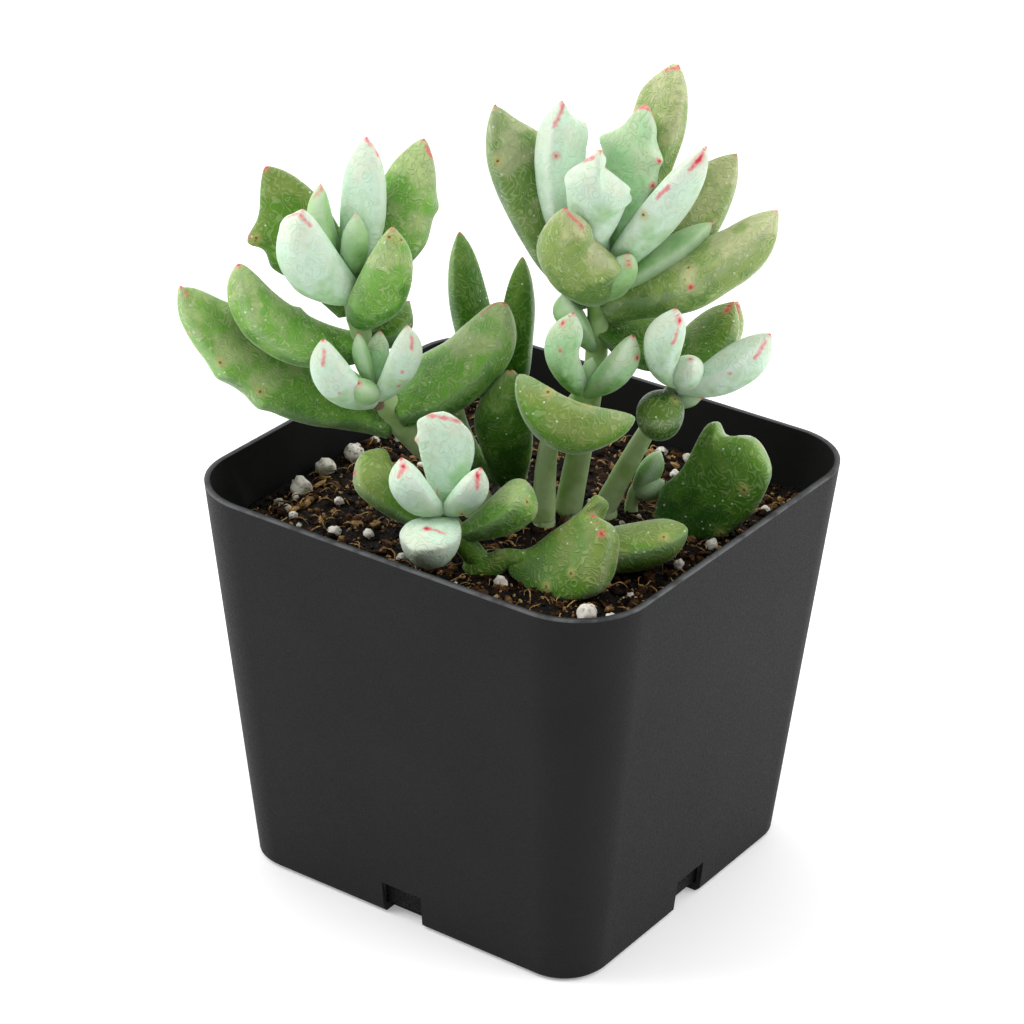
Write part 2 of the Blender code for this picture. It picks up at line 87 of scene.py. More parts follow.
# How a leaf's skin looks: its colour near the root, in the middle and towards the tip, and, from 0
# to 1, its white powder, its etched lines and how strong its red marks are.
Look = namedtuple("Look", "low middle high powder lines red")
LOOKS = {
    "powdery": Look(srgb(150, 200, 138), srgb(206, 234, 214), srgb(216, 226, 206), 1.0, 0.32, 0.9),
    "fresh": Look(srgb(96, 150, 50), srgb(134, 186, 108), srgb(168, 204, 146), 0.6, 0.15, 0.8),
    "mint": Look(srgb(96, 160, 62), srgb(156, 206, 146), srgb(182, 206, 162), 0.7, 0.40, 1.0),
    "green": Look(srgb(64, 126, 8), srgb(114, 174, 52), srgb(172, 194, 124), 0.15, 1.0, 0.9),
    "moss": Look(srgb(60, 108, 6), srgb(90, 138, 24), srgb(126, 148, 64), 0.10, 0.50, 0.9),
    "deep": Look(srgb(40, 92, 6), srgb(76, 128, 20), srgb(112, 152, 56), 0.05, 0.45, 0.8),
    "dusky": Look(srgb(50, 98, 4), srgb(98, 136, 38), srgb(166, 174, 126), 0.20, 0.8, 0.9),
    "dark": Look(srgb(28, 68, 2), srgb(50, 94, 8), srgb(88, 120, 34), 0.05, 0.5, 0.8),
    "olive": Look(srgb(80, 122, 18), srgb(134, 160, 66), srgb(192, 194, 140), 0.25, 1.0, 0.9),
    "stem": Look(srgb(148, 180, 98), srgb(182, 208, 146), srgb(198, 208, 168), 0.25, 0.0, 0.0),
    "dry": Look(srgb(116, 88, 68), srgb(150, 120, 98), srgb(172, 148, 124), 0.20, 0.0, 0.0),
}

# A leaf: its kind and look, where it leaves its stem (height above the ground, mm), its compass
# heading and its rise over the level (degrees), its length, width and thickness (mm), how far it
# curls up along its length and how it is rolled about its own line (degrees), how far its middle
# bows to the left and how far its margins rise (mm), its teeth and its marks. A tooth is a place
# along the leaf (0 to 1), a side (-1 right, 1 left, seen from the root), a size (mm) and, if broad,
# its reach along the leaf. A tooth of the tip has side 0: its place is then its way to the left of
# the middle and its reach is its width (mm). A mark is red, pink or brown, a place along the leaf
# and a turn round it (degrees: 0 left margin, 90 upper face, 180 right margin, 270 under face), and
# where it is a streak, its other end.
Leaf = namedtuple(
    "Leaf", "kind look height heading rise length width thickness curl roll bow cup teeth marks",
    defaults=(0, 0, 0, 0, (), ()))

# A shoot: its material slot, its stem's route from the soil up and the stem's radius at both ends
# (mm), whether it stands in the soil, its leaves, and how the stem's skin looks.
Shoot = namedtuple("Shoot", "slot route foot_radius top_radius rooted leaves stem",
                   defaults=("stem",))

SHOOTS = {
    "left_branch": Shoot("leaf_green", (
        (-8, -3, 68), (-14, -8, 76.5), (-18, -12.5, 83.5), (-20.5, -14.5, 90), (-23.5, -15.5, 99),
        (-26, -15.5, 107), (-27, -15, 110)), 2.6, 1.5, True, (
        Leaf("mature", "green", 83, -142, 35, 46, 15, 9.5, 50, -35,
             teeth=((0.5, 1, 1.0, 0.04), (0.68, 1, 1.0, 0.04), (0.82, -1, -2.0, 0.20),
                    (0.12, 1, -2.4, 0.16)),
             marks=(("pink", 0.98, 70, 0.87, 333), ("brown", 0.73, 18), ("brown", 0.54, 27))),
        Leaf("mature", "green", 86, 43, 44, 27.5, 12.5, 9, 50, 14,
             teeth=((0.26, 1, 1.2), (0.28, 1, 2.8, 0.17)),
             marks=(("pink", 0.98, 20, 0.86, 60),)),
        Leaf("mature", "green", 97.5, -135, 37, 28, 9.5, 8, 75, -30, bow=2.4,
             teeth=((0.45, -1, 0.8),)),
        Leaf("mature", "deep", 98, 75, 27, 10.5, 8, 5.5, 10),
        Leaf("mature", "moss", 103, -174, 52, 28.5, 10.5, 6, 15, -55,
             teeth=((0.69, 1, 3.3, 0.07), (0.50, 1, 3.0, 0.15), (0.73, 1, 0.9),
                    (0.80, 1, 0.5, 0.1)),
             marks=(("brown", 0.69, 36), ("brown", 0.66, 8))),
        Leaf("mature", "green", 105, 63, 64, 29.8, 11, 6, 15, 20,
             teeth=((0.70, -1, 1.2, 0.05), (0.5, -1, 2.3, 0.2)),
             marks=(("pink", 0.98, 150, 0.94, 190),)),
        Leaf("drop", "green", 102, -10, 66, 21, 10.5, 8, 20, bow=1.0,
             teeth=((0.8, -1, -0.8, 0.15),),
             marks=(("brown", 0.96, 207), ("brown", 0.94, 288))),
        Leaf("drop", "powdery", 107, -104, 60, 19.6, 12, 9.2, 35, bow=-2.6,
             teeth=((0.84, -1, 0.9),),
             marks=(("pink", 0.98, 280, 0.90, 350), ("pink", 0.98, 240, 0.90, 200))),
        Leaf("young", "powdery", 107, 90, 80, 26, 8.6, 5.4, 0, 0, bow=-0.5,
             marks=(("pink", 0.99, 108, 0.92, 190),)),
        Leaf("young", "fresh", 108, -152, 75, 18, 6.5, 4.4, 30, teeth=((0.55, 1, 0.8),),
             marks=(("pink", 0.98, 36, 0.93, 320),)),
        Leaf("young", "fresh", 108, -13, 82, 13, 5, 4.2),
    )),
    "left_side_shoot": Shoot("leaf_mint", (
        (-18.8, -17.2, 88), (-18.6, -18.1, 90), (-18.4, -19.0, 93)), 1.2, 1.0, False,
        stem="dry", leaves=(
        Leaf("young", "powdery", 89.5, -112, 53, 17, 7.6, 6.4, 50,
             marks=(("pink", 0.95, 324, 0.85, 315), ("pink", 0.54, 324))),
        Leaf("young", "powdery", 90, 2, 67, 16, 7, 5, 25, bow=1.0,
             marks=(("pink", 0.94, 252, 0.83, 243), ("pink", 0.56, 225), ("pink", 0.37, 234))),
        Leaf("young", "fresh", 92, -150, 75, 10, 3.5, 3.0),
        Leaf("young", "mint", 92, 104, 76, 9.5, 4, 3),
        Leaf("bud", "fresh", 90.5, -85, 33, 8, 4.6, 4.4, marks=(("red", 0.95, 54),)),
    )),
    "rear_shoot": Shoot("leaf_green", (
        (-5, 3.5, 67), (-7.5, 4.5, 76), (-8, 5.5, 84)), 2.3, 1.8, True, (
        Leaf("mature", "deep", 80, 172, 70, 33.5, 8, 5, 10, bow=0.6),
        Leaf("mature", "deep", 77, 96, 81, 32, 6.2, 5.2),
        Leaf("mature", "deep", 69, -57, 74, 25.5, 9.5, 6,
             teeth=((0.55, -1, 1.6, 0.3), (0.5, 1, -1.0, 0.3)), marks=(("brown", 1.0, 160),)),
        Leaf("paddle", "green", 69, -150, 60, 21, 8, 5, 70, marks=(("red", 0.95, 90),)),
    )),
    "right_branch": Shoot("leaf_green", (
        (5, 6.5, 67), (6.5, 8, 81), (8, 9, 94.5), (8, 9, 106), (8.5, 9, 112)), 2.4, 1.6, True, (
        Leaf("mature", "olive", 105, 24, 34, 36.2, 13, 9.2, 25, 10,
             teeth=((0.5, -1, 0.6), (0.75, 1, -1.4, 0.25), (0.15, -1, -2.6, 0.15),
                    (0.96, -1, 0.8, 0.06), (0, 0, -0.7, 2.0)),
             marks=(("brown", 0.52, 126),)),
        Leaf("mature", "dusky", 105, -161, 61, 38, 13, 7.4, 15, -30,
             teeth=((0.79, -1, 1.0, 0.06), (0.92, -1, -1.1, 0.12), (0.66, -1, -1.0, 0.1)),
             marks=(("brown", 0.80, 27),)),
        Leaf("mature", "olive", 108, 72, 67, 39.3, 11.5, 6.6, 10,
             teeth=((0.85, 1, 2.6, 0.15), (0.60, 1, 1.4, 0.15), (0.55, -1, -2.4, 0.2)),
             marks=(("pink", 0.99, 100, 0.97, 45),)),
        Leaf("mature", "olive", 105, 55, 45, 34, 12, 6.6, 15, 20, teeth=((0.55, -1, 1.2, 0.2),)),
        Leaf("drop", "olive", 107, -93, 62, 20.5, 13, 9.0, 10,
             teeth=((0.44, 1, 1.6, 0.07), (0.66, 1, -2.4, 0.12), (0.48, -1, 2.0, 0.25)),
             marks=(("pink", 0.98, 330, 0.89, 350),)),
        Leaf("young", "fresh", 108, 36, 33, 21.8, 8, 5.4, 10),
        Leaf("young", "powdery", 109, -145, 78, 33.4, 10.6, 7.5, 45, -40,
             teeth=((0.93, -1, -1.0, 0.08), (0.75, -1, 1.7, 0.08), (0.81, -1, 0.9),
                    (0.75, 1, -1.2, 0.25)),
             marks=(("pink", 0.99, 60, 0.90, 10), ("red", 0.75, 36))),
        Leaf("young", "mint", 111, 68, 74, 29, 11, 5.6, 0, 10,
             teeth=((0.73, 1, 3.0, 0.07), (0.87, 1, -0.4, 0.07), (0.84, -1, -1.0, 0.06),
                    (0.75, -1, 1.2), (0.60, -1, 0.8)),
             marks=(("pink", 0.99, 60, 0.96, 18), ("pink", 0.99, 150, 0.94, 216))),
        Leaf("young", "powdery", 110, 23, 56, 30, 10, 6.6, 0, -15,
             teeth=((0.62, 1, 1.2, 0.2), (0.52, 1, 0.6), (0.7, 1, 0.6)),
             marks=(("pink", 0.98, 215, 0.89, 198), ("red", 0.97, 210, 0.93, 200),
                    ("pink", 0.75, 182, 0.67, 178), ("brown", 0.54, 180))),
        Leaf("fan", "powdery", 111, -62, 77, 24, 11.5, 6,
             teeth=((0.87, 1, -3.9, 0.11), (0.72, 1, 0.7, 0.03), (0.645, 1, 0.8, 0.03),
                    (0.5, 1, -1.5, 0.3), (0.3, 1, -1.6, 0.15), (0.92, -1, -1.0, 0.05),
                    (0.79, -1, 0.5, 0.06),
                    (0.9, 0, 0.4, 0.6), (-0.9, 0, 0.4, 0.6)),
             marks=(("pink", 0.98, 230, 0.93, 185), ("pink", 0.98, 60, 0.86, 30))),
        Leaf("young", "fresh", 106.5, -21, 52, 13, 7, 5.2, marks=(("red", 0.95, 261),)),
        Leaf("paddle", "fresh", 96.5, -135, 62, 11.5, 9.5, 5.0),
        Leaf("paddle", "deep", 101, 40, -15, 12.5, 14, 5, 10, 25),
    )),
    "middle_shoot": Shoot("leaf_olive", (
        (3.5, 0.8, 67), (4, 1, 79), (6.2, 1.7, 85.5), (9.7, 2, 91), (10.2, 2.1, 92.5)),
        2.2, 1.3, True, (
        Leaf("paddle", "moss", 84, -45, 35, 20, 21, 8, 15, -24, cup=3.0,
             marks=(("pink", 0.94, 108), ("brown", 0.97, 190), ("brown", 0.97, 70))),
        Leaf("young", "mint", 92, -78, 72, 17, 8, 6.2, 20, bow=-1.3,
             teeth=((0.48, 1, -2.4, 0.35),),
             marks=(("red", 0.94, 234), ("pink", 0.73, 270))),
        Leaf("young", "mint", 91.5, 23, 54, 14, 7.2, 5.4, 25, marks=(("red", 0.85, 243),)),
        Leaf("bud", "fresh", 91.5, 63, 74, 6, 3, 3),
    )),
    "right_side_shoot": Shoot("leaf_mint", (
        (10.5, 9.8, 67), (15.5, 12.6, 80), (20.3, 14.2, 90), (21.7, 15, 92.7)), 2.1, 1.2, True, (
        Leaf("young", "powdery", 92, -65, 63, 19.4, 7.2, 6, 20, bow=-2.0,
             teeth=((0.35, 1, -1.2, 0.25),),
             marks=(("red", 0.94, 324), ("pink", 0.95, 324, 0.78, 297))),
        Leaf("young", "moss", 92, 67, 50, 16, 9.5, 6, teeth=((0.45, 1, 1.6, 0.25),),
             marks=(("red", 0.96, 99), ("red", 0.91, 108))),
        Leaf("mature", "olive", 92, 78, 39, 17, 10, 5,
             marks=(("pink", 0.98, 126, 0.85, 135),)),
        Leaf("young", "powdery", 91, 21, 37, 19.5, 9.5, 7.2, 15,
             marks=(("pink", 0.97, 189, 0.84, 198), ("pink", 0.61, 189))),
        Leaf("bud", "powdery", 93.3, -46, 41, 9.5, 5.6, 5.6, marks=(("red", 0.97, 99),)),
        Leaf("bud", "dark", 88.5, -70, -2, 9.6, 8.2, 8.4, marks=(("brown", 0.54, 54),)),
        Leaf("drop", "fresh", 89, 1, 14, 6.5, 3.0, 3.0),
    )),
    "front_left_shoot": Shoot("leaf_mint", (
        (4.3, -20, 67), (2.3, -21.6, 70.7), (0.2, -23.4, 75), (-0.4, -24, 78)), 2.2, 1.4, True,
        stem="moss", leaves=(
        Leaf("paddle", "powdery", 77, 126, 78, 16, 9.2, 4.6, bow=-0.8,
             teeth=((0.73, 1, 0.7), (0.94, 1, 1.1, 0.07), (0.9, -1, -0.6, 0.1)),
             marks=(("pink", 0.98, 20, 0.97, 90), ("pink", 0.97, 90, 0.93, 160))),
        Leaf("young", "powdery", 76.5, -124, 56, 12.8, 7.5, 6, 30,
             marks=(("red", 0.96, 342), ("pink", 0.96, 342, 0.89, 315))),
        Leaf("young", "powdery", 76.5, 12, 54, 11.2, 6, 5.2, 20,
             marks=(("red", 0.95, 198), ("pink", 0.95, 198, 0.84, 216), ("brown", 0.33, 225))),
        Leaf("cap", "powdery", 75, -81, -5, 11, 10.2, 7.6,
             marks=(("red", 0.60, 92), ("pink", 0.60, 92, 0.57, 54))),
        Leaf("paddle", "moss", 73.5, -161, 34, 18.8, 10.5, 7, 20, -20,
             teeth=((0.76, -1, -2.4, 0.09), (0.60, -1, 1.0, 0.06)),
             marks=(("red", 0.96, 342),)),
        Leaf("paddle", "green", 72, 37, 39, 14.7, 9.0, 7.0, 20, marks=(("brown", 0.93, 198),)),
        Leaf("bud", "dry", 76.5, -95, 74, 4.6, 0.9, 0.8, 50),
        Leaf("bud", "dry", 75.5, -60, 60, 3.4, 0.8, 0.7, 70),
    )),
    "front_low_shoot": Shoot("leaf_green", (
        (4.6, -20.0, 65.4), (7.0, -19.1, 66.3), (9.2, -18.2, 67.8), (12.8, -17.2, 68.8)),
        2.6, 1.3, True,
        stem="moss", leaves=(
        Leaf("spade", "moss", 67.8, 16, 22, 19, 15, 8, 20, 45, bow=-2.2,
             teeth=((6.3, 0, 0.8, 1.0), (4.1, 0, -2.6, 1.2), (1.0, 0, 0.4, 1.4),
                    (0.88, 1, 2.4, 0.12), (0.2, 1, -1.8, 0.2)),
             marks=(("red", 0.985, 10), ("red", 0.97, 81), ("brown", 0.69, 117),
                    ("brown", 0.41, 135))),
        Leaf("paddle", "moss", 67.5, 39, 10, 31, 10.5, 7, 5, marks=(("brown", 0.88, 135),)),
    )),
    "right_low_shoot": Shoot("leaf_green", (
        (21.6, 11.2, 65.6), (21.9, 11.4, 66.6)), 1.8, 1.4, True, stem="deep", leaves=(
        Leaf("spade", "deep", 65.0, 35, 58, 23.4, 15.5, 8, 10, 60, bow=-3.2,
             teeth=((1.3, 0, -2.8, 2.6), (4.2, 0, -2.0, 2.0), (0.95, 1, -1.6, 0.14),
                    (0.24, 1, 2.2, 0.18), (0.26, -1, 1.2, 0.22)),
             marks=(("red", 0.97, 225), ("brown", 0.69, 126), ("brown", 0.29, 153))),
    )),
    "small_sprout": Shoot("leaf_green", (
        (13.6, 13.2, 67), (14.4, 13.6, 70), (15.2, 14.0, 73)), 1.2, 1.0, True, (
        Leaf("bud", "fresh", 69.5, 36, 63, 8.2, 4.6, 4.2),
        Leaf("bud", "fresh", 69, 18, 32, 5.6, 4.2, 4.0),
    )),
}


LengthProperty = partial(FloatProperty, unit="LENGTH")
ColourProperty = partial(FloatVectorProperty, subtype="COLOR")


class CotyledonPotSettings(bpy.types.PropertyGroup):
    """Sizes and colours of the nursery pot."""
    height: LengthProperty(name="Height", description="Foot to rim", default=75.2 * MM)
    rim_width: LengthProperty(name="Rim width", description="Outside, along X", default=88.0 * MM)
    rim_depth: LengthProperty(name="Rim depth", description="Outside, along Y", default=84.49 * MM)
    foot_width: LengthProperty(name="Foot width", description="Outside, along X", default=73.4 * MM)
    foot_depth: LengthProperty(name="Foot depth", description="Outside, along Y", default=69.1 * MM)
    rim_corner: LengthProperty(name="Rim corner", description="Radius at the rim", default=13.6 * MM)
    foot_corner: LengthProperty(name="Foot corner", description="Radius at the foot", default=8.6 * MM)
    foot_round: LengthProperty(name="Foot rounding", description="Step in at the foot", default=0.8 * MM)
    wall: LengthProperty(name="Wall", description="Wall thickness", default=1.0 * MM)
    floor: LengthProperty(name="Floor", description="Thickness of the floor", default=1.6 * MM)
    rim_round: LengthProperty(name="Rim rounding", description="Radius on its edges", default=0.3 * MM)
    notch_width: LengthProperty(name="Notch width", description="Of a drain notch", default=8.4 * MM)
    notch_height: LengthProperty(name="Notch height", description="Of a drain notch", default=6.6 * MM)
    notch_reach: LengthProperty(name="Notch reach", description="Into the floor", default=3.0 * MM)
    colour: ColourProperty(name="Colour", description="Moulded plastic", default=srgb(25, 25, 26))
    cloud: ColourProperty(name="Cloud", description="Its paler patches", default=srgb(36, 36, 37))
    # The inside wall's colour is painted paler than the outside, standing in for the light that falls
    # inside the pot.
    inner: ColourProperty(name="Inner wall", description="Inside the pot", default=srgb(74, 74, 76))
    # Pale on the rim's rounded edges: partly painted highlight, partly rub wear.
    rim_highlight_and_wear: ColourProperty(name="Worn edge", description="Rubbed pale rim", default=srgb(94, 95, 97))


class CotyledonSoilSettings(bpy.types.PropertyGroup):
    """Sizes, amounts and colours of the potting mix."""
    top: LengthProperty(name="Top", description="Mean height of the surface", default=65.3 * MM)
    wall_gap: LengthProperty(name="Wall gap", description="Gap to the pot's wall", default=0.3 * MM)
    lump: LengthProperty(name="Lump", description="Size of the surface's lumps", default=4.5 * MM)
    roughness: LengthProperty(name="Roughness", description="Height of the lumps", default=0.9 * MM)
    rim_roll: LengthProperty(name="Rim roll", description="Drop at the wall", default=0.8 * MM)
    crumbs: IntProperty(name="Crumbs", description="Loose crumbs of peat", default=1500, min=0)
    grit: IntProperty(name="Grit", description="Fine crumbs between them", default=6000, min=0)
    bark: IntProperty(name="Bark", description="Loose chips of bark", default=170, min=0)
    fibres: IntProperty(name="Fibres", description="Coir and root fibres", default=900, min=0)
    perlite: IntProperty(name="Perlite", description="Small white grains", default=55, min=0)
    seed: IntProperty(name="Seed", description="Seed of the loose pieces' places", default=7)
    dark: ColourProperty(name="Dark peat", description="Damp peat", default=srgb(9, 6, 3))
    brown: ColourProperty(name="Brown peat", description="Drier peat", default=srgb(68, 40, 16))
    warm: ColourProperty(name="Warm peat", description="Dry fibre, bark", default=srgb(202, 160, 104))
    white: ColourProperty(name="Perlite", description="White grains", default=srgb(226, 221, 212))
    dirt: ColourProperty(name="Dirt", description="Dirt on white grains", default=srgb(132, 112, 88))
    pits: ColourProperty(name="Pits", description="Pits in white grains", default=srgb(104, 88, 70))


class CotyledonLeafSettings(bpy.types.PropertyGroup):
    """Fineness and colours of the leaves and stems."""
    facet: LengthProperty(name="Facet", description="Length of a leaf's facets", default=0.36 * MM)
    lumps: LengthProperty(name="Lumps", description="Height of the skin's lumps", default=0.30 * MM)
    powder: ColourProperty(name="Powder", description="White bloom", default=srgb(226, 236, 222))
    line: ColourProperty(name="Lines", description="Etched lines", default=srgb(186, 204, 146))
    halo: ColourProperty(name="Halo", description="Skin round a callus", default=srgb(188, 182, 112))
    red: ColourProperty(name="Teeth", description="Red of tips and teeth", default=srgb(206, 34, 62))
    pink: ColourProperty(name="Blush", description="Pink round the red", default=srgb(228, 100, 116))
    brown: ColourProperty(name="Callus", description="Small calluses", default=srgb(112, 56, 34))


class CotyledonStageSettings(bpy.types.PropertyGroup):
    """Camera, floor and lights."""
    camera: FloatVectorProperty(name="Camera", description="Where the camera stands",
                                subtype="TRANSLATION", default=(0.30822, -0.44566, 0.34634))
    target: FloatVectorProperty(name="Target", description="What the camera looks at",
                                subtype="TRANSLATION", default=(-0.01721, 0.02099, 0.05238))
    roll: FloatProperty(name="Roll", description="Turn about the line of sight",
                        default=math.radians(1.125), subtype="ANGLE")
    lens: FloatProperty(name="Lens", description="Focal length (mm)", default=123.3)
    floor: ColourProperty(name="Floor", description="Pale floor", default=(0.85, 0.85, 0.85))
    table: FloatProperty(name="Table", description="Light through the floor", default=0.25)
    sky: FloatProperty(name="Sky", description="Strength of the light all round", default=1.38)
    front: FloatProperty(name="Front", description="Its share at the camera's side", default=0.15)
    left: FloatProperty(name="Left light", description="Power of the left soft box",
                        default=22.0, unit="POWER")
    right: FloatProperty(name="Right light", description="Power of the right soft box",
                         default=15.0, unit="POWER")


def select_only(*objects):
    """Deselect all but these objects, and make the first of them the active one."""
    bpy.ops.object.select_all(action="DESELECT")
    for obj in objects:
        obj.select_set(True)
    if objects:
        bpy.context.view_layer.objects.active = objects[0]


def settle(obj, name, material, slot, *nodes):
    """Name a finished piece, give it its material and tell the frame what it stands for."""
    obj.name = name
    obj.data.name = name
    obj.data.materials.clear()
    obj.data.materials.append(material)
    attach(obj, "root")
    if nodes:
        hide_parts(*nodes)


def object_from_arrays(name, points, faces):
    """A mesh object from an array of points and one of triangles or quads."""
    mesh = bpy.data.meshes.new(name)
    mesh.from_pydata(points.tolist(), [], faces.tolist())
    obj = bpy.data.objects.new(name, mesh)
    bpy.context.scene.collection.objects.link(obj)
    return obj


def set_point_values(obj, name, values):
    """Keep one number, or one vector, for each vertex under a name that materials read."""
    kind, field = ("FLOAT_VECTOR", "vector") if values.ndim == 2 else ("FLOAT", "value")
    attribute = obj.data.attributes.new(name, kind, "POINT")
    attribute.data.foreach_set(field, np.ascontiguousarray(values, np.float32).ravel())


def vectors_of(rows, field):
    """One vector of each row of mesh data, as an array."""
    values = np.empty(len(rows) * 3, np.float32)
    rows.foreach_get(field, values)
    return values.reshape(-1, 3)


def points_of(obj):
    return vectors_of(obj.data.vertices, "co").astype(float)


def normals_of(obj):
    return vectors_of(obj.data.vertex_normals, "vector")


def move_points(obj, points):
    obj.data.vertices.foreach_set("co", np.ascontiguousarray(points, np.float32).ravel())
    obj.data.update()


def face_outwards():
    """In edit mode: turn all faces outwards."""
    bpy.ops.mesh.select_all(action="SELECT")
    bpy.ops.mesh.normals_make_consistent(inside=False)


class NodeSheet:
    """A node tree that is filled in line by line; most methods return a node's main output."""

    def __init__(self, tree):
        self.tree = tree

    def add(self, kind, inputs=(), **settings):
        node = self.tree.nodes.new(kind)
        for key, value in settings.items():
            setattr(node, key, value)
        self.fill(node, dict(inputs))
        return node

    def fill(self, node, inputs):
        for key, value in inputs.items():
            self.feed(node.inputs[key], value)

    def feed(self, socket, value):
        """Link a socket to another one, or set its own value; a colour has three numbers."""
        if isinstance(value, bpy.types.NodeSocket):
            self.tree.links.new(value, socket)
        elif socket.type == "RGBA":
            socket.default_value = (*value, 1.0)
        else:
            socket.default_value = value

    def math(self, operation, first, second):
        return self.add("ShaderNodeMath", {0: first, 1: second}, operation=operation).outputs[0]

    def times(self, first, second):
        return self.math("MULTIPLY", first, second)

    def plus(self, first, second):
        return self.math("ADD", first, second)

    def vector(self, operation, first, second, output=0):
        node = self.add("ShaderNodeVectorMath", {0: first, 1: second}, operation=operation)
        return node.outputs[output]

    def length(self, vector):
        return self.add("ShaderNodeVectorMath", {0: vector}, operation="LENGTH").outputs["Value"]

    def mix(self, factor, first, second):
        node = self.add("ShaderNodeMix", data_type="RGBA")
        self.fill(node, {"Factor": factor, "A": first, "B": second})
        return node.outputs["Result"]

    def between(self, value, low, high, start=0.0, end=1.0):
        """A smooth step from start, at low, to end, at high."""
        inputs = {"Value": value, "From Min": low, "From Max": high, "To Min": start, "To Max": end}
        node = self.add("ShaderNodeMapRange", inputs, interpolation_type="SMOOTHSTEP")
        return node.outputs["Result"]

    def noise(self, vector, scale, detail=2.0, distortion=0.0):
        inputs = {"Vector": vector, "Scale": scale, "Detail": detail, "Distortion": distortion}
        return self.add("ShaderNodeTexNoise", inputs).outputs["Fac"]

    def attribute(self, name, output="Fac"):
        return self.add("ShaderNodeAttribute", attribute_name=name).outputs[output]

    def height(self, place):
        return self.add("ShaderNodeSeparateXYZ", {0: place}).outputs["Z"]

    def place_mm(self):
        """The point's place in the object, in millimetres."""
        place = self.add("ShaderNodeTexCoord").outputs["Object"]
        inputs = {0: place, "Scale": 1 / MM}
        return self.add("ShaderNodeVectorMath", inputs, operation="SCALE").outputs[0]

    def group(self, name, **inputs):
        """Put a node group of PATTERNS here; it is built once, when it is first asked for."""
        tree = bpy.data.node_groups.get(name) or build_group(name, inputs)
        return self.add("ShaderNodeGroup", inputs, node_tree=tree).outputs[0]

    def bump(self, height, distance):
        """A normal bent by a height map, where a height of 1 stands for the distance."""
        inputs = {"Height": height, "Distance": distance, "Strength": 1.0}
        return self.add("ShaderNodeBump", inputs).outputs["Normal"]


def build_group(name, labels):
    """A node group with these inputs, a place and plain numbers, and one mask as its output."""
    group = bpy.data.node_groups.new(name, "ShaderNodeTree")
    for label in labels:
        kind = "NodeSocketVector" if label == "Place" else "NodeSocketFloat"
        group.interface.new_socket(name=label, in_out="INPUT", socket_type=kind)
    group.interface.new_socket(name="Mask", in_out="OUTPUT", socket_type="NodeSocketFloat")
    sheet = NodeSheet(group)
    mask = PATTERNS[name](sheet, group.nodes.new("NodeGroupInput").outputs)
    sheet.feed(group.nodes.new("NodeGroupOutput").inputs["Mask"], mask)
    return group


def etched_lines(sheet, start):
    """Fine curling lines, as the level lines of a bent noise field."""
    shift = sheet.add("ShaderNodeCombineXYZ", {0: start["Shift"], 1: start["Shift"]}).outputs[0]
    place = sheet.vector("ADD", start["Place"], shift)
    field = sheet.noise(place, 0.60, 0.0, 0.5)
    bands = sheet.math("PINGPONG", sheet.times(field, 4.5), 0.5)
    broken = sheet.between(sheet.noise(place, 0.5, 0.0), 0.30, 0.42, 0.35, 1.0)
    return sheet.times(sheet.between(bands, 0.26, 0.42), broken)


def specks(sheet, start):
    """Small round specks of a size, in a share of the cells of a spacing."""
    cell = sheet.add("ShaderNodeCombineXYZ", {axis: start["Spacing"] for axis in range(3)})
    place = sheet.vector("DIVIDE", start["Place"], cell.outputs[0])
    cells = sheet.add("ShaderNodeTexVoronoi", {"Vector": place, "Scale": 1.0})
    radius = sheet.math("DIVIDE", start["Size"], start["Spacing"])
    near = sheet.math("LESS_THAN", cells.outputs["Distance"], radius)
    chosen = sheet.add("ShaderNodeSeparateColor", {0: cells.outputs["Color"]}).outputs[0]
    return sheet.times(near, sheet.math("LESS_THAN", chosen, start["Share"]))


PATTERNS = {"etched lines": etched_lines, "specks": specks}


def new_material(name):
    """A new material, the sheet of its nodes and its shader."""
    material = bpy.data.materials.new(name)
    material.use_nodes = True
    return material, NodeSheet(material.node_tree), material.node_tree.nodes["Principled BSDF"]


def leaf_skin(name, settings):
    """Skin of leaves and stems: powder, etched lines, red teeth and brown calluses."""
    material, sheet, shader = new_material(name)
    place = sheet.place_mm()
    fine = sheet.noise(place, 1.1, 3.0)
    powder = sheet.attribute("leaf_powder")
    skin, along = leaf_green(sheet, place, fine)
    bloom = sheet.times(powder, sheet.between(fine, 0.3, 0.6, 0.10, 0.32))
    skin = sheet.mix(bloom, skin, settings.powder)
    lines = sheet.group("etched lines", Place=place, Shift=sheet.attribute("leaf_shift"))
    lines = sheet.times(lines, sheet.attribute("leaf_lines"))
    lines = sheet.times(lines, sheet.between(along, 0.0, 0.55, 0.4, 1.0))
    dark = sheet.attribute("leaf_low", "Color")
    pale = sheet.mix(sheet.between(powder, 0.3, 0.9), settings.line, dark)
    skin = sheet.mix(sheet.times(lines, 0.55), skin, pale)
    skin = leaf_specks(sheet, skin, place, powder, settings)
    skin = leaf_marks(sheet, skin, fine, settings)
    relief = sheet.plus(sheet.times(lines, 0.75), sheet.times(fine, 0.25))
    sheet.fill(shader, {
        "Base Color": skin, "Roughness": sheet.between(powder, 0.0, 1.0, 0.42, 0.60),
        "Subsurface Weight": 0.25, "Subsurface Radius": (0.9, 1.0, 0.4),
        "Subsurface Scale": 1.2 * MM, "Specular IOR Level": 0.22, "Sheen Weight": 0.16,
        "Sheen Roughness": 0.16, "Normal": sheet.bump(relief, 0.28 * MM)})
    return material


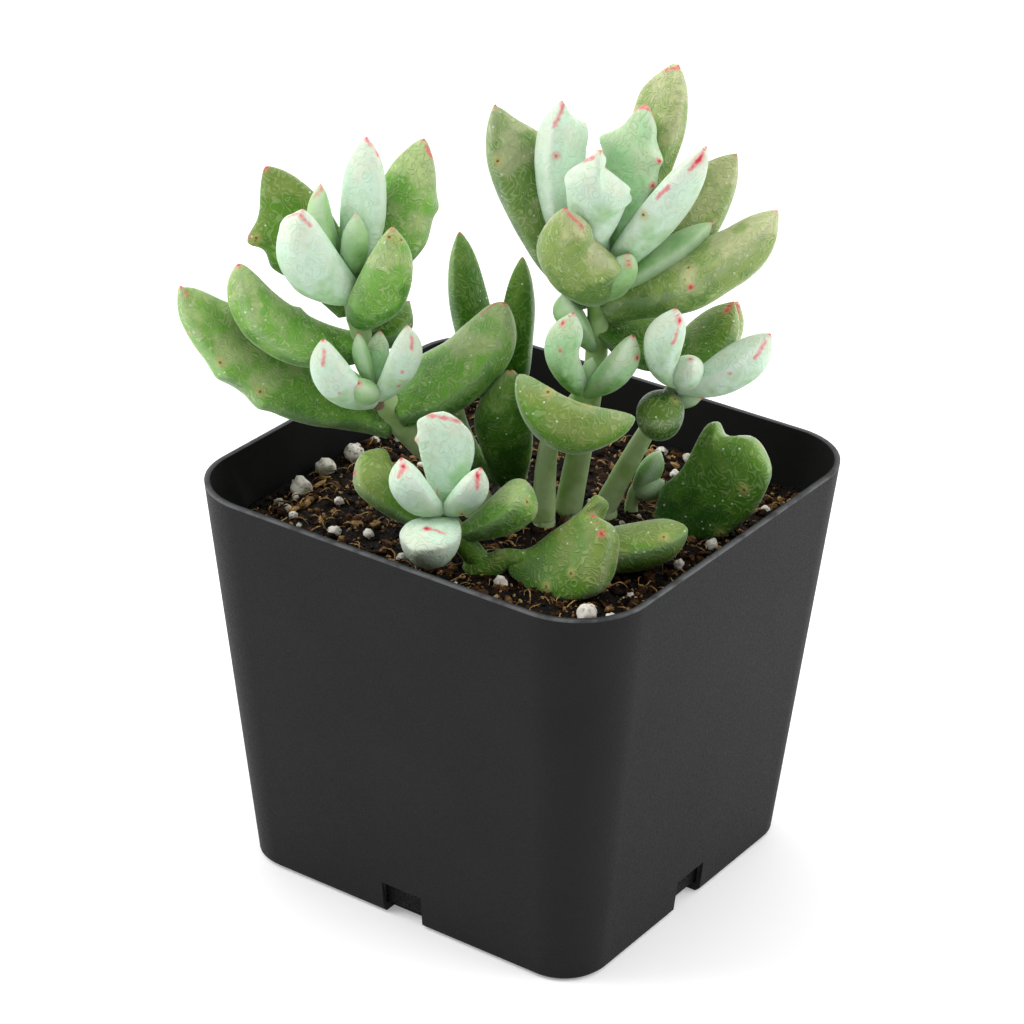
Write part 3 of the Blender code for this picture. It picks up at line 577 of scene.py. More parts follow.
def leaf_green(sheet, place, fine):
    """The green from the leaf's root to its tip, paler where the skin faces up as painted light, and how
    far along the leaf each point counts.
    """
    low, middle, high = (sheet.attribute("leaf_" + part, "Color")
                         for part in ("low", "middle", "high"))
    patches = sheet.between(sheet.noise(place, 0.22, 2.0), 0.25, 0.75, -0.4, 0.4)
    # Painted light from above: skin that faces up counts as further along, so it takes the paler
    # colours.
    painted_top_light = sheet.between(sheet.attribute("leaf_painted_top_light"), -0.7, 0.9, -0.25, 0.25)
    along = sheet.plus(sheet.plus(sheet.attribute("leaf_along"), patches), painted_top_light)
    skin = sheet.mix(sheet.between(along, 0.0, 0.50), low, middle)
    skin = sheet.mix(sheet.between(along, 0.60, 1.15), skin, high)
    return sheet.mix(sheet.between(fine, 0.35, 0.75, 0.0, 0.30), skin, low), along


def leaf_specks(sheet, skin, place, powder, settings):
    """Lay white and brown specks and the powder of the margins over the skin, and a pale painted rim
    light where the skin turns away from the view.
    """
    white = sheet.group("specks", Place=place, Spacing=1.5, Size=0.20, Share=0.40)
    white = sheet.times(white, sheet.between(powder, 0.0, 0.6, 0.8, 0.0))
    skin = sheet.mix(white, skin, settings.powder)
    dark = sheet.group("specks", Place=place, Spacing=2.7, Size=0.2, Share=0.10)
    skin = sheet.mix(sheet.times(dark, 0.5), skin, settings.brown)
    edge = sheet.between(sheet.attribute("leaf_margin_away"), 0.0, 1.8, 0.6, 0.0)
    edge = sheet.times(edge, sheet.between(powder, 0.2, 0.9, 0.2, 0.8))
    skin = sheet.mix(edge, skin, settings.powder)
    # Painted rim light: the skin goes pale where it turns away from the view.
    outline = sheet.add("ShaderNodeLayerWeight", {"Blend": 0.25}).outputs["Facing"]
    return sheet.mix(sheet.between(outline, 0.35, 1.0, 0.0, 0.75), skin, settings.powder)


def leaf_marks(sheet, skin, fine, settings):
    """Lay the pink and red of the teeth and the haloed brown calluses over the skin."""
    ragged = sheet.between(fine, 0.2, 0.8, -0.22, 0.22)
    away = {colour: sheet.length(sheet.attribute("leaf_" + colour + "_away", "Vector"))
            for colour in MARKS}
    pink, red = sheet.plus(away["pink"], ragged), sheet.plus(away["red"], ragged)
    redness = sheet.attribute("leaf_red")
    for way, near, far, strength, colour in (
            (pink, 0.0, 0.62, 0.85, settings.pink), (red, 0.3, 1.2, 0.5, settings.pink),
            (red, 0.08, 0.48, 0.95, settings.red)):
        mask = sheet.times(sheet.between(way, near, far, strength, 0.0), redness)
        skin = sheet.mix(mask, skin, colour)
    skin = sheet.mix(sheet.between(away["brown"], 0.3, 1.5, 0.6, 0.0), skin, settings.halo)
    return sheet.mix(sheet.between(away["brown"], 0.12, 0.36, 0.85, 0.0), skin, settings.brown)


def pot_plastic(pot):
    """Moulded plastic with a fine matte grain, painted paler inside as painted light, and pale on the
    rim's rounded edges as painted highlight broken up by rub wear.
    """
    material, sheet, shader = new_material("charcoal pot plastic")
    place = sheet.place_mm()
    grain = sheet.noise(place, 3.2, 3.0)
    cloud = sheet.between(sheet.noise(place, 0.05, 2.0), 0.3, 0.7, 0.0, 0.2)
    colour = sheet.mix(cloud, pot.colour, pot.cloud)
    # Painted light: the inside wall is painted paler, for the light that falls inside the pot.
    colour = sheet.mix(sheet.attribute("inner"), colour, pot.inner)
    # The rim's rounded edges: painted highlight, broken up by rub wear.
    highlight_and_rub = sheet.between(sheet.noise(place, 0.3, 3.0), 0.3, 0.6, 0.25, 0.9)
    top = pot.height / MM
    highlight_and_rub = sheet.times(highlight_and_rub, sheet.between(sheet.height(place), top - 0.45, top - 0.3))
    colour = sheet.mix(sheet.times(sheet.attribute("rim_highlight_and_wear"), highlight_and_rub), colour, pot.rim_highlight_and_wear)
    sheet.fill(shader, {
        "Base Color": colour, "Roughness": sheet.between(grain, 0.3, 0.7, 0.52, 0.66),
        "Specular IOR Level": 0.12, "Normal": sheet.bump(grain, 0.06 * MM)})
    return material


# Near blacks of painted shade: in the gaps between crumbs, and low in the pot behind the drain notches.
GAP_SHADE_BLACK, NOTCH_SHADE_BLACK = srgb(2, 1, 1), srgb(2, 2, 2)


def peat(soil):
    """Dark damp peat with warm dry fibres, for the soil and its loose crumbs, with painted shade in its
    gaps and behind the drain notches.
    """
    material, sheet, shader = new_material("peat")
    place = sheet.place_mm()
    fine = sheet.noise(place, 3.0, 4.0)
    warm = sheet.plus(sheet.times(sheet.noise(place, 0.5, 4.0), 0.6), sheet.attribute("tone"))
    colour = sheet.mix(sheet.between(warm, 0.25, 0.8), soil.dark, soil.brown)
    colour = sheet.mix(sheet.between(warm, 0.8, 1.4), colour, soil.warm)
    # Painted shade: near-black patches from noise stand for the shade in the gaps between crumbs.
    colour = sheet.mix(sheet.between(fine, 0.42, 0.62, 0.0, 0.55), colour, GAP_SHADE_BLACK)
    # Painted shade: below 30 mm the peat darkens, and below 14 mm it is near black, for the shade behind
    # the drain notches.
    deep = sheet.between(sheet.height(place), 14.0, 30.0, 1.0, 0.0)
    sheet.fill(shader, {
        "Base Color": sheet.mix(deep, colour, NOTCH_SHADE_BLACK),
        "Roughness": sheet.between(fine, 0.3, 0.7, 0.5, 0.9),
        "Specular IOR Level": 0.15, "Normal": sheet.bump(fine, 0.35 * MM)})
    return material


def perlite_stuff(soil):
    """White expanded grains with pits and a little dirt."""
    material, sheet, shader = new_material("perlite")
    place = sheet.place_mm()
    pits = sheet.add("ShaderNodeTexVoronoi", {"Vector": place, "Scale": 1.3}).outputs["Distance"]
    dirt = sheet.between(sheet.noise(place, 0.7, 3.0), 0.44, 0.68, 0.0, 0.6)
    colour = sheet.mix(dirt, soil.white, soil.dirt)
    sheet.fill(shader, {
        "Base Color": sheet.mix(sheet.between(pits, 0.0, 0.25, 0.35, 0.0), colour, soil.pits),
        "Roughness": 0.9, "Normal": sheet.bump(sheet.between(pits, 0.0, 0.35), 0.25 * MM)})
    return material


def pot_section(pot, height, inset):
    """The pot's width, depth and corner radius at a height, moved in from the outer face."""
    share = height / pot.height
    width = pot.foot_width + (pot.rim_width - pot.foot_width) * share - 2 * inset
    depth = pot.foot_depth + (pot.rim_depth - pot.foot_depth) * share - 2 * inset
    corner = pot.foot_corner + (pot.rim_corner - pot.foot_corner) * share - inset
    return width, depth, corner


def onto_rounded_square(u, v, width, depth, corner):
    """Map a point of the square from -1 to 1 onto a rectangle with round corners."""
    reach = max(abs(u), abs(v))
    if reach < 1e-9:
        return 0.0, 0.0
    x, y = u / reach * width / 2, v / reach * depth / 2
    over_x, over_y = abs(x) - (width / 2 - corner), abs(y) - (depth / 2 - corner)
    if over_x > 0 and over_y > 0:
        shrink = corner / math.hypot(over_x, over_y)
        x = math.copysign(width / 2 - corner + over_x * shrink, x)
        y = math.copysign(depth / 2 - corner + over_y * shrink, y)
    return x * reach, y * reach


def add_ring(pot, height, inset):
    """In edit mode: one outline of the pot, as a plane whose corners are rounded; its face goes."""
    width, depth, corner = pot_section(pot, height, inset)
    bpy.ops.mesh.select_all(action="DESELECT")
    bpy.ops.mesh.primitive_plane_add(size=1, location=(0, 0, height))
    bpy.ops.transform.resize(value=(width, depth, 1), center_override=(0, 0, height))
    bpy.ops.mesh.bevel(offset=corner, offset_type="OFFSET", segments=CORNER_STEPS,
                       affect="VERTICES")
    bpy.ops.mesh.delete(type="ONLY_FACE")


def rings_of(bm, count, size):
    """The ring vertices of an edit mesh, in the order in which the rings were added."""
    bm.verts.ensure_lookup_table()
    return [[bm.verts[k * size + i] for i in range(size)] for k in range(count)]


def select_verts(obj, verts_of):
    """Select in edit mode the vertices that a function picks from the edit mesh."""
    bpy.ops.mesh.select_all(action="DESELECT")
    bm = bmesh.from_edit_mesh(obj.data)
    for vert in verts_of(bm):
        vert.select = True
    bm.select_flush(True)
    bmesh.update_edit_mesh(obj.data)


class CotyledonPot(bpy.types.Operator):
    """Model the square nursery pot with its rounded rim and its four drain notches."""
    bl_idname = "object.cotyledon_pot"
    bl_label = "Nursery pot"

    def execute(self, context):
        pot = context.scene.cotyledon_pot
        obj = object_from_arrays("nursery_pot", np.empty((0, 3)), np.empty((0, 3), int))
        select_only(obj)
        bpy.ops.object.mode_set(mode="EDIT")
        self.raise_walls(obj, pot)
        bpy.ops.object.mode_set(mode="OBJECT")
        self.cut_notches(obj, pot)
        if not obj.data.polygons:
            raise RuntimeError("the notches took the whole pot away")
        select_only(obj)
        bpy.ops.object.shade_smooth_by_angle(angle=math.radians(30))
        self.mark_rim_light_and_inside(obj, pot)
        settle(obj, "nursery_pot", pot_plastic(pot), "pot_plastic", "pot")
        return {"FINISHED"}

    @staticmethod
    def raise_walls(obj, pot):
        """Bridge the outlines from the foot up the outside, over the rim and down the inside."""
        stations = ((0.0, pot.foot_round), (pot.foot_round, 0.0), (pot.height, 0.0),
                    (pot.height, pot.wall), (pot.floor, pot.wall))
        for height, inset in stations:
            add_ring(pot, height, inset)
        count = len(stations)
        size = len(bmesh.from_edit_mesh(obj.data).verts) // count
        for lower in range(count - 1):
            select_verts(obj, lambda bm: sum(rings_of(bm, count, size)[lower:lower + 2], []))
            bpy.ops.mesh.bridge_edge_loops()
        for end in (0, count - 1):
            select_verts(obj, lambda bm: rings_of(bm, count, size)[end])
            bpy.ops.mesh.edge_face_add()
        face_outwards()
        bpy.ops.mesh.select_mode(type="EDGE")
        select_verts(obj, lambda bm: sum(rings_of(bm, count, size)[2:4], []))
        bm = bmesh.from_edit_mesh(obj.data)
        for edge in bm.edges:
            rises = len({round(face.normal.z, 2) for face in edge.link_faces}) > 1
            edge.select = edge.select and rises
        for face in bm.faces:
            face.select = False
        bmesh.update_edit_mesh(obj.data)
        bpy.ops.mesh.bevel(offset=pot.rim_round, segments=3, affect="EDGES")

    @staticmethod
    def mark_rim_light_and_inside(obj, pot):
        """Mark the rim's two rounded edges, pale as painted highlight and rub wear, and the inside,
        painted paler as painted light.
        """
        points, outward = points_of(obj), normals_of(obj)
        slope = outward[:, 2]
        at_rim = points[:, 2] > pot.height - 1.05 * pot.rim_round
        rounded = (slope > 0.2) & (slope < 0.7)
        set_point_values(obj, "rim_highlight_and_wear", np.where(at_rim & rounded, 1.0, 0.0))
        # The inside wall, which is painted paler as painted light.
        inward = (points[:, :2] * outward[:, :2]).sum(1) < -0.01
        set_point_values(obj, "inner", np.where(inward & (slope < 0.5), 1.0, 0.0))

    @staticmethod
    def cut_notches(obj, pot):
        for quarter, span in enumerate((pot.foot_width, pot.foot_depth) * 2):
            turn = quarter * math.pi / 2
            place = (math.cos(turn) * span / 2, math.sin(turn) * span / 2, 0)
            bpy.ops.mesh.primitive_cube_add(size=1, location=place, rotation=(0, 0, turn))
            block = bpy.context.object
            block.scale = (2 * pot.notch_reach, pot.notch_width, 2 * pot.notch_height)
            select_only(obj)
            cut = obj.modifiers.new("Notch", "BOOLEAN")
            cut.operation = "DIFFERENCE"
            cut.solver = "EXACT"
            cut.object = block
            bpy.ops.object.modifier_apply(modifier=cut.name)
            bpy.data.objects.remove(block, do_unlink=True)


ROOT_DEPTH = 7.0 * MM
STEM_STEPS = 8                           # points on a stem's curve for each point of its route
STEM_SIDES = 5                           # fineness of a stem's section
ROOT_CLOSES = 0.03                       # share of a leaf along which its root closes
TOOTH_REACH = 0.04                       # share of a leaf along which a narrow tooth stands
TIP_REACH = 0.22                         # share of a leaf that a tooth of its tip bends
TIP_WIDTH = 1.2                          # mm
APEX, APEX_REACH = 0.6 * MM, 0.02        # how far a tip is drawn out, and from which share on
AROUND, LEAST_RINGS = 44, 26             # facets round a leaf, and its fewest rings
JOINT_REACH = 0.9                        # mm of stem that swell where a leaf leaves it
JOINT_SWELL, MOST_LEAVES = 0.12, 1.5     # mm for each leaf, and for how many at most
STEM_LUMPS, STEM_LUMPS_PER_METRE = 0.08, 400    # height in mm, and how close they are
STEM_CLEARANCE = 0.6 * MM                # from a stem to the nearest loose piece
LUMPS_PER_METRE = 160
LUMPY_WIDTH = 12                         # mm: narrower leaves have lower lumps
LINES_APART = 3.7                        # mm from one leaf's pattern of lines to the next
CALLUS, CALLUS_REACH = 0.25 * MM, 1.1    # height, and reach in mm
MARKS = ("red", "pink", "brown")
FAR = 9.0                                # mm: past the reach of any mark


def stem_points(shoot, soil_top):
    """The stem's route in metres, with the straight root below the soil."""
    route = [Vector(point) * MM for point in shoot.route]
    if shoot.rooted:
        x, y, _ = route[0]
        route[:0] = [Vector((x, y, soil_top - ROOT_DEPTH)), Vector((x, y, soil_top))]
    return route


def smooth_route(points):
    """A smooth curve through the points, as many more points."""
    ends = [2 * points[0] - points[1]] + points + [2 * points[-1] - points[-2]]
    result = []
    for before, start, end, after in zip(ends, ends[1:], ends[2:], ends[3:]):
        for step in range(STEM_STEPS):
            t = step / STEM_STEPS
            result.append(0.5 * ((2 * start) + (end - before) * t
                                 + (2 * before - 5 * start + 4 * end - after) * t ** 2
                                 + (3 * start - before - 3 * end + after) * t ** 3))
    result.append(points[-1].copy())
    return result


def point_at_height(points, height):
    """The point of a rising route at a height."""
    for low, high in zip(points, points[1:]):
        if low.z <= height <= high.z:
            return low.lerp(high, (height - low.z) / (high.z - low.z))
    return points[-1].copy()


def width_share(kind, t):
    """Half a leaf's width at places along it, as shares of its greatest half width."""
    closed_root = np.minimum(1.0, np.sqrt(np.maximum(t, 0) / ROOT_CLOSES))
    lower = closed_root * (kind.neck + (1 - kind.neck) * np.sin(np.pi / 2 * np.minimum(
        t / kind.widest, 1)))
    beyond = np.clip((t - kind.widest) / (1 - kind.widest), 0, 1) ** kind.fullness
    upper = np.maximum(0.0, np.cos(np.pi / 2 * beyond)) ** kind.blunt
    return np.where(t < kind.widest, lower, upper)


def leaf_frame(root, leaf):
    """The leaf's root, with its line along X, its left along Y and its upper face towards Z."""
    return (Matrix.Translation(root) @ Matrix.Rotation(math.radians(leaf.heading), 4, "Z")
            @ Matrix.Rotation(-math.radians(leaf.rise), 4, "Y")
            @ Matrix.Rotation(math.radians(leaf.roll), 4, "X"))


def leaf_teeth(leaf, t, side, share):
    """How far the teeth push a leaf's points outwards and, at its tip, forwards (metres)."""
    edge, forward = np.zeros_like(t), APEX * np.exp(-(1 - t) / APEX_REACH)
    for place, tooth_side, size, *reach in leaf.teeth:
        if tooth_side == 0:
            across = (leaf.width / 2 * share * side - place) / (reach[0] if reach else TIP_WIDTH)
            forward += size * MM * np.exp(-across ** 2 - ((1 - t) / TIP_REACH) ** 2)
            continue
        width = reach[0] if reach else TOOTH_REACH
        peak = size * MM * np.exp(-np.abs((t - place) / width) ** 1.7)
        edge += np.where(side * tooth_side > 0, peak, 0) * np.abs(side) ** (1 if reach else 3)
    return edge, forward


def leaf_skin_points(leaf, t, turn):
    """Points of a leaf's skin in its own frame, in metres: t along it and turn round it."""
    kind = KINDS[leaf.kind]
    side, above = np.cos(turn), np.sin(turn)
    share = width_share(kind, t)
    edge, forward = leaf_teeth(leaf, t, side, share)
    across = leaf.width / 2 * MM * share * side + np.sign(side) * edge
    across += leaf.bow * MM * 4 * t * (1 - t)
    part = np.where(above > 0, kind.upper, 1 - kind.upper)
    offset = leaf.thickness * MM * share * part * above + leaf.cup * MM * share * side ** 2
    length, curl = leaf.length * MM, math.radians(leaf.curl)
    if curl == 0:
        x, z = length * t, offset
    else:
        bend = curl * (t - 0.5)
        radius = length / curl
        x = radius * (np.sin(bend) + math.sin(curl / 2)) - offset * np.sin(bend)
        z = radius * (math.cos(curl / 2) - np.cos(bend)) + offset * np.cos(bend)
    return np.stack([x + forward, across, z], -1)


def away_from_streaks(leaf, points, marks):
    """For each skin point, the way in millimetres from the nearest mark or streak."""
    best = np.full_like(points, FAR)
    distance = np.full(len(points), FAR)
    for mark in marks:
        places = np.array(mark[1:], float).reshape(-1, 2)
        ends = leaf_skin_points(leaf, places[:, 0], np.radians(places[:, 1])) / MM
        start, run = ends[0], ends[-1] - ends[0]
        share = np.clip((points / MM - start) @ run / max(run @ run, 1e-9), 0, 1)
        way = points / MM - start - share[:, None] * run
        length = np.linalg.norm(way, axis=1)
        nearer = length < distance
        best[nearer], distance[nearer] = way[nearer], length[nearer]
    return best


def default_marks(leaf):
    """A pointed leaf has a red tip, and each narrow tooth ends in red."""
    marks = [("red", 1.0, 90)] if leaf.kind in ("mature", "young", "drop", "fan") else []
    for place, side, size, *reach in leaf.teeth:
        if side and not reach:
            marks.append(("red", place, 0 if side > 0 else 180))
    return tuple(marks) + tuple(leaf.marks)


def paint_skin(obj, look, along, margin_away, shift, away):
    """Keep on each vertex what the skin's material reads."""
    count = len(obj.data.vertices)
    # How far each point faces up, which the skin turns into painted light from above.
    set_point_values(obj, "leaf_painted_top_light", normals_of(obj)[:, 2])
    for name, value in look._asdict().items():
        set_point_values(obj, "leaf_" + name, np.repeat([value], count, 0))
    set_point_values(obj, "leaf_shift", np.full(count, shift))
    set_point_values(obj, "leaf_along", along)
    set_point_values(obj, "leaf_margin_away", margin_away)
    for colour in MARKS:
        set_point_values(obj, "leaf_" + colour + "_away", away[colour])


class CotyledonShoots(bpy.types.Operator):
    """Model the leafy stems: each stem and its leaves, closed skins joined in one object."""
    bl_idname = "object.cotyledon_shoots"
    bl_label = "Leafy stems"

    def execute(self, context):
        settings = context.scene.cotyledon_leaf
        soil_top = context.scene.cotyledon_soil.top
        materials = {}
        for number, (node, shoot) in enumerate(SHOOTS.items()):
            if shoot.slot not in materials:
                materials[shoot.slot] = leaf_skin(shoot.slot.replace("_", " ") + " skin", settings)
            obj = self.grow(node, shoot, number, settings, soil_top)
            settle(obj, node + "_plant", materials[shoot.slot], shoot.slot, node)
        return {"FINISHED"}

    def grow(self, node, shoot, number, settings, soil_top):
        """One stem and its leaves; the number gives each leaf lumps and lines of its own."""
        route = smooth_route(stem_points(shoot, soil_top))
        pieces = [self.stem(node, shoot, route)]
        for place, leaf in enumerate(shoot.leaves):
            root = point_at_height(route, leaf.height * MM)
            pieces.append(self.leaf(leaf, root, number * 20 + place, settings))
        select_only(*pieces)
        bpy.ops.object.join()
        bpy.ops.object.shade_smooth()
        return pieces[0]

    @staticmethod
    def stem(node, shoot, route):
        """The bare stem: a tube on a smooth curve, a little thicker where leaves leave it."""
        curve = bpy.data.curves.new(node + "_stem", "CURVE")
        curve.dimensions = "3D"
        curve.bevel_depth = MM
        curve.bevel_resolution = STEM_SIDES
        curve.use_fill_caps = True
        spline = curve.splines.new("POLY")
        spline.points.add(len(route) - 1)
        low = route[0].z + (ROOT_DEPTH if shoot.rooted else 0)
        high = route[-1].z
        for point, place in zip(spline.points, route):
            share = max(0.0, (place.z - low) / (high - low))
            leaves = sum(math.exp(-((place.z / MM - leaf.height) / JOINT_REACH) ** 2)
                         for leaf in shoot.leaves)
            point.co = (*place, 1.0)
            point.radius = shoot.foot_radius + (shoot.top_radius - shoot.foot_radius) * share
            point.radius += (JOINT_SWELL * min(leaves, MOST_LEAVES)
                             + STEM_LUMPS * noise.noise(place * STEM_LUMPS_PER_METRE))
        line = bpy.data.objects.new(node + "_stem", curve)
        bpy.context.scene.collection.objects.link(line)
        select_only(line)
        bpy.ops.object.convert(target="MESH")
        obj = bpy.context.object
        bpy.ops.object.mode_set(mode="EDIT")
        bpy.ops.mesh.select_all(action="SELECT")
        bpy.ops.mesh.remove_doubles(threshold=0.01 * MM)
        face_outwards()
        bpy.ops.object.mode_set(mode="OBJECT")
        count = len(obj.data.vertices)
        away = dict.fromkeys(MARKS, np.full((count, 3), FAR))
        paint_skin(obj, LOOKS[shoot.stem], np.full(count, 0.5), np.full(count, FAR), 0.0, away)
        return obj

    @staticmethod
    def leaf(leaf, root, number, settings):
        """A plump leaf: a sphere drawn out along a curled line, flatter above than below."""
        select_only()
        rings = max(LEAST_RINGS, round(leaf.length * MM / settings.facet))
        bpy.ops.mesh.primitive_uv_sphere_add(segments=AROUND, ring_count=rings, radius=1)
        obj = bpy.context.object
        ball = points_of(obj)
        pole = np.hypot(ball[:, 0], ball[:, 1]) < 1e-4
        polar = np.arccos(np.clip(-ball[:, 2], -1, 1)) / np.pi
        t = np.where(pole, np.round(polar), (polar + (1 + ball[:, 2]) / 2) / 2)
        turn = np.where(pole, np.pi / 2, np.arctan2(ball[:, 1], ball[:, 0]))
        points = leaf_skin_points(leaf, t, turn)
        marks = default_marks(leaf)
        away = {colour: away_from_streaks(leaf, points, [m for m in marks if m[0] == colour])
                for colour in MARKS}
        swell = CALLUS * np.exp(-(np.linalg.norm(away["brown"], axis=1) / CALLUS_REACH) ** 2)
        lumps = np.array([noise.noise(Vector(point) * LUMPS_PER_METRE + Vector((number, 0, 0)))
                          for point in points])
        rise = np.where(pole, 0, swell + settings.lumps * lumps * min(1, leaf.width / LUMPY_WIDTH))
        points[:, 1] += rise * np.cos(turn)
        points[:, 2] += rise * np.sin(turn)
        matrix = np.array(leaf_frame(root, leaf))
        move_points(obj, points @ matrix[:3, :3].T + matrix[:3, 3])
        share = width_share(KINDS[leaf.kind], t)
        margin_away = np.hypot(leaf.width / 2 * share * (1 - np.abs(np.cos(turn))),
                               leaf.thickness / 2 * share * np.sin(turn))
        paint_skin(obj, LOOKS[leaf.look], t, margin_away, number * LINES_APART, away)
        return obj


class SoilBed:
    """The soil's shape: where its surface lies and where loose pieces may lie on it."""

    def __init__(self, scene):
        self.soil, self.pot = scene.cotyledon_soil, scene.cotyledon_pot
        inset = self.pot.wall + self.soil.wall_gap
        self.top = pot_section(self.pot, self.soil.top, inset)
        self.base = pot_section(self.pot, self.pot.floor, inset)
        self.stems = [(shoot.route[0][0] * MM, shoot.route[0][1] * MM, shoot.foot_radius * MM)
                      for shoot in SHOOTS.values() if shoot.rooted]

    def height(self, x, y, reach):
        """The surface's height: lumps, crumbs and a roll down to the wall."""
        place = Vector((x, y, 0.0)) / self.soil.lump
        lumps = noise.noise(place) + 0.5 * noise.noise(place * 2 + Vector((0, 0, 1)))
        crumbs = noise.noise(place * 5) + 0.6 * noise.noise(place * 11)
        roll = self.soil.rim_roll * reach ** 4
        return self.soil.top + self.soil.roughness * (lumps + 0.35 * crumbs) - roll

    def place(self, rng, margin):
        """A free place on the surface, clear of the stems and within a share of its reach."""
        while True:
            u, v = rng.uniform(-margin, margin), rng.uniform(-margin, margin)
            x, y = onto_rounded_square(u, v, *self.top)
            clear = all(math.hypot(x - sx, y - sy) > radius + STEM_CLEARANCE
                        for sx, sy, radius in self.stems)
            if clear:
                return x, y, self.height(x, y, max(abs(u), abs(v)))


class CotyledonSoil(bpy.types.Operator):
    """Model the potting mix that fills the pot, with its rough surface."""
    bl_idname = "object.cotyledon_soil"
    bl_label = "Potting mix"

    def execute(self, context):
        bed = SoilBed(context.scene)
        select_only()
        bpy.ops.mesh.primitive_grid_add(x_subdivisions=SOIL_CELLS, y_subdivisions=SOIL_CELLS,
                                        size=2)
        obj = context.object
        points = []
        for u, v, _ in points_of(obj):
            x, y = onto_rounded_square(u, v, *bed.top)
            points.append((x, y, bed.height(x, y, max(abs(u), abs(v)))))
        move_points(obj, np.array(points))
        bpy.ops.object.mode_set(mode="EDIT")
        bpy.ops.mesh.select_all(action="DESELECT")
        bpy.ops.mesh.select_mode(type="VERT")
        bpy.ops.mesh.select_non_manifold()
        bpy.ops.mesh.extrude_region_move()
        self.press_down(obj, bed)
        bpy.ops.mesh.edge_face_add()
        face_outwards()
        bpy.ops.object.mode_set(mode="OBJECT")
        bpy.ops.object.shade_smooth()
        set_point_values(obj, "tone", np.zeros(len(obj.data.vertices)))
        settle(obj, "potting_mix", peat(bed.soil), "soil", "soil")
        return {"FINISHED"}

    @staticmethod
    def press_down(obj, bed):
        """Move the extruded rim of the surface down to the pot's floor."""
        bm = bmesh.from_edit_mesh(obj.data)
        shrink_x, shrink_y = bed.base[0] / bed.top[0], bed.base[1] / bed.top[1]
        height = bed.pot.floor + FLOOR_GAP
        for vert in bm.verts:
            if vert.select:
                vert.co = Vector((vert.co.x * shrink_x, vert.co.y * shrink_y, height))
        bmesh.update_edit_mesh(obj.data)


def rough_ball(seed, subdivisions, stretch, amount):
    """A rough pebble: an ico sphere pushed in and out by noise; returns its points and faces."""
    select_only()
    bpy.ops.mesh.primitive_ico_sphere_add(subdivisions=subdivisions, radius=1)
    obj = bpy.context.object
    points = points_of(obj)
    bumps = np.array([noise.noise(Vector(point) * 1.3 + Vector((seed * 5.1, 0, 0)))
                      + 0.5 * noise.noise(Vector(point) * 3.1 + Vector((0, seed * 3.3, 0)))
                      for point in points])
    points *= (1 + amount * bumps)[:, None] * np.array(stretch)
    faces = np.array([tuple(face.vertices) for face in obj.data.polygons])
    bpy.data.objects.remove(obj, do_unlink=True)
    return points, faces


THREAD_RADIUS = 0.035                    # of a thread one unit long


def bent_thread(rng, sides=5, rings=9):
    """A thin bent thread, one unit long and lying down; returns its points and faces."""
    heading, place = 0.0, np.zeros(3)
    centres = []
    bend, lift = rng.uniform(-1.5, 1.5), rng.uniform(0.1, 0.4)
    for ring in range(rings):
        share = ring / (rings - 1)
        centres.append(place + np.array((0, 0, lift * math.sin(math.pi * share))))
        heading += bend / rings + rng.uniform(-0.35, 0.35)
        place = place + np.array((math.cos(heading), math.sin(heading), 0)) / (rings - 1)
    points, faces = [], []
    for ring, centre in enumerate(centres):
        taper = 0.35 + 0.65 * math.sin(math.pi * (ring + 0.6) / (rings + 0.2))
        for side in range(sides):
            angle = 2 * math.pi * side / sides
            points.append(centre + taper * THREAD_RADIUS * np.array(
                (0.4 * math.cos(angle), math.cos(angle), math.sin(angle))))
    for ring in range(rings - 1):
        for side in range(sides):
            start, over = ring * sides + side, ring * sides + (side + 1) % sides
            faces.append((start, over, over + sides))
            faces.append((start, over + sides, start + sides))
    last = (rings - 1) * sides
    faces += [(0, side + 1, side) for side in range(1, sides - 1)]
    faces += [(last, last + side, last + side + 1) for side in range(1, sides - 1)]
    centre = np.mean(points, axis=0) * (1, 1, 0)
    return np.array(points) - centre, np.array(faces)


def scatter(name, shapes, rng, count, place_of):
    """One piece from many turned and sized copies of a few shapes, each with its own tone."""
    all_points, all_faces, tones = [], [], []
    total = 0
    for _ in range(count):
        points, faces = shapes[rng.randrange(len(shapes))]
        spot, turn, size, tone = place_of(rng)
        matrix = np.array(turn.to_matrix())
        all_points.append((points * size) @ matrix.T + np.array(spot))
        all_faces.append(faces + total)
        tones.append(np.full(len(points), tone))
        total += len(points)
    obj = object_from_arrays(name, np.vstack(all_points), np.vstack(all_faces))
    obj.data.shade_smooth()
    set_point_values(obj, "tone", np.concatenate(tones))
    return obj


def any_turn(rng):
    """A turn about a random line."""
    axis = Vector((rng.gauss(0, 1), rng.gauss(0, 1), rng.gauss(0, 1))).normalized()
    return Matrix.Rotation(rng.uniform(0, 2 * math.pi), 3, axis).to_quaternion()


def lying_turn(rng, tilt):
    """A turn that leaves a flat thing lying, tilted by a little."""
    flat = Matrix.Rotation(rng.uniform(0, 2 * math.pi), 3, "Z")
    lean = Matrix.Rotation(rng.uniform(-tilt, tilt), 3, "X") @ Matrix.Rotation(
        rng.uniform(-tilt, tilt), 3, "Y")
    return (lean @ flat).to_quaternion()


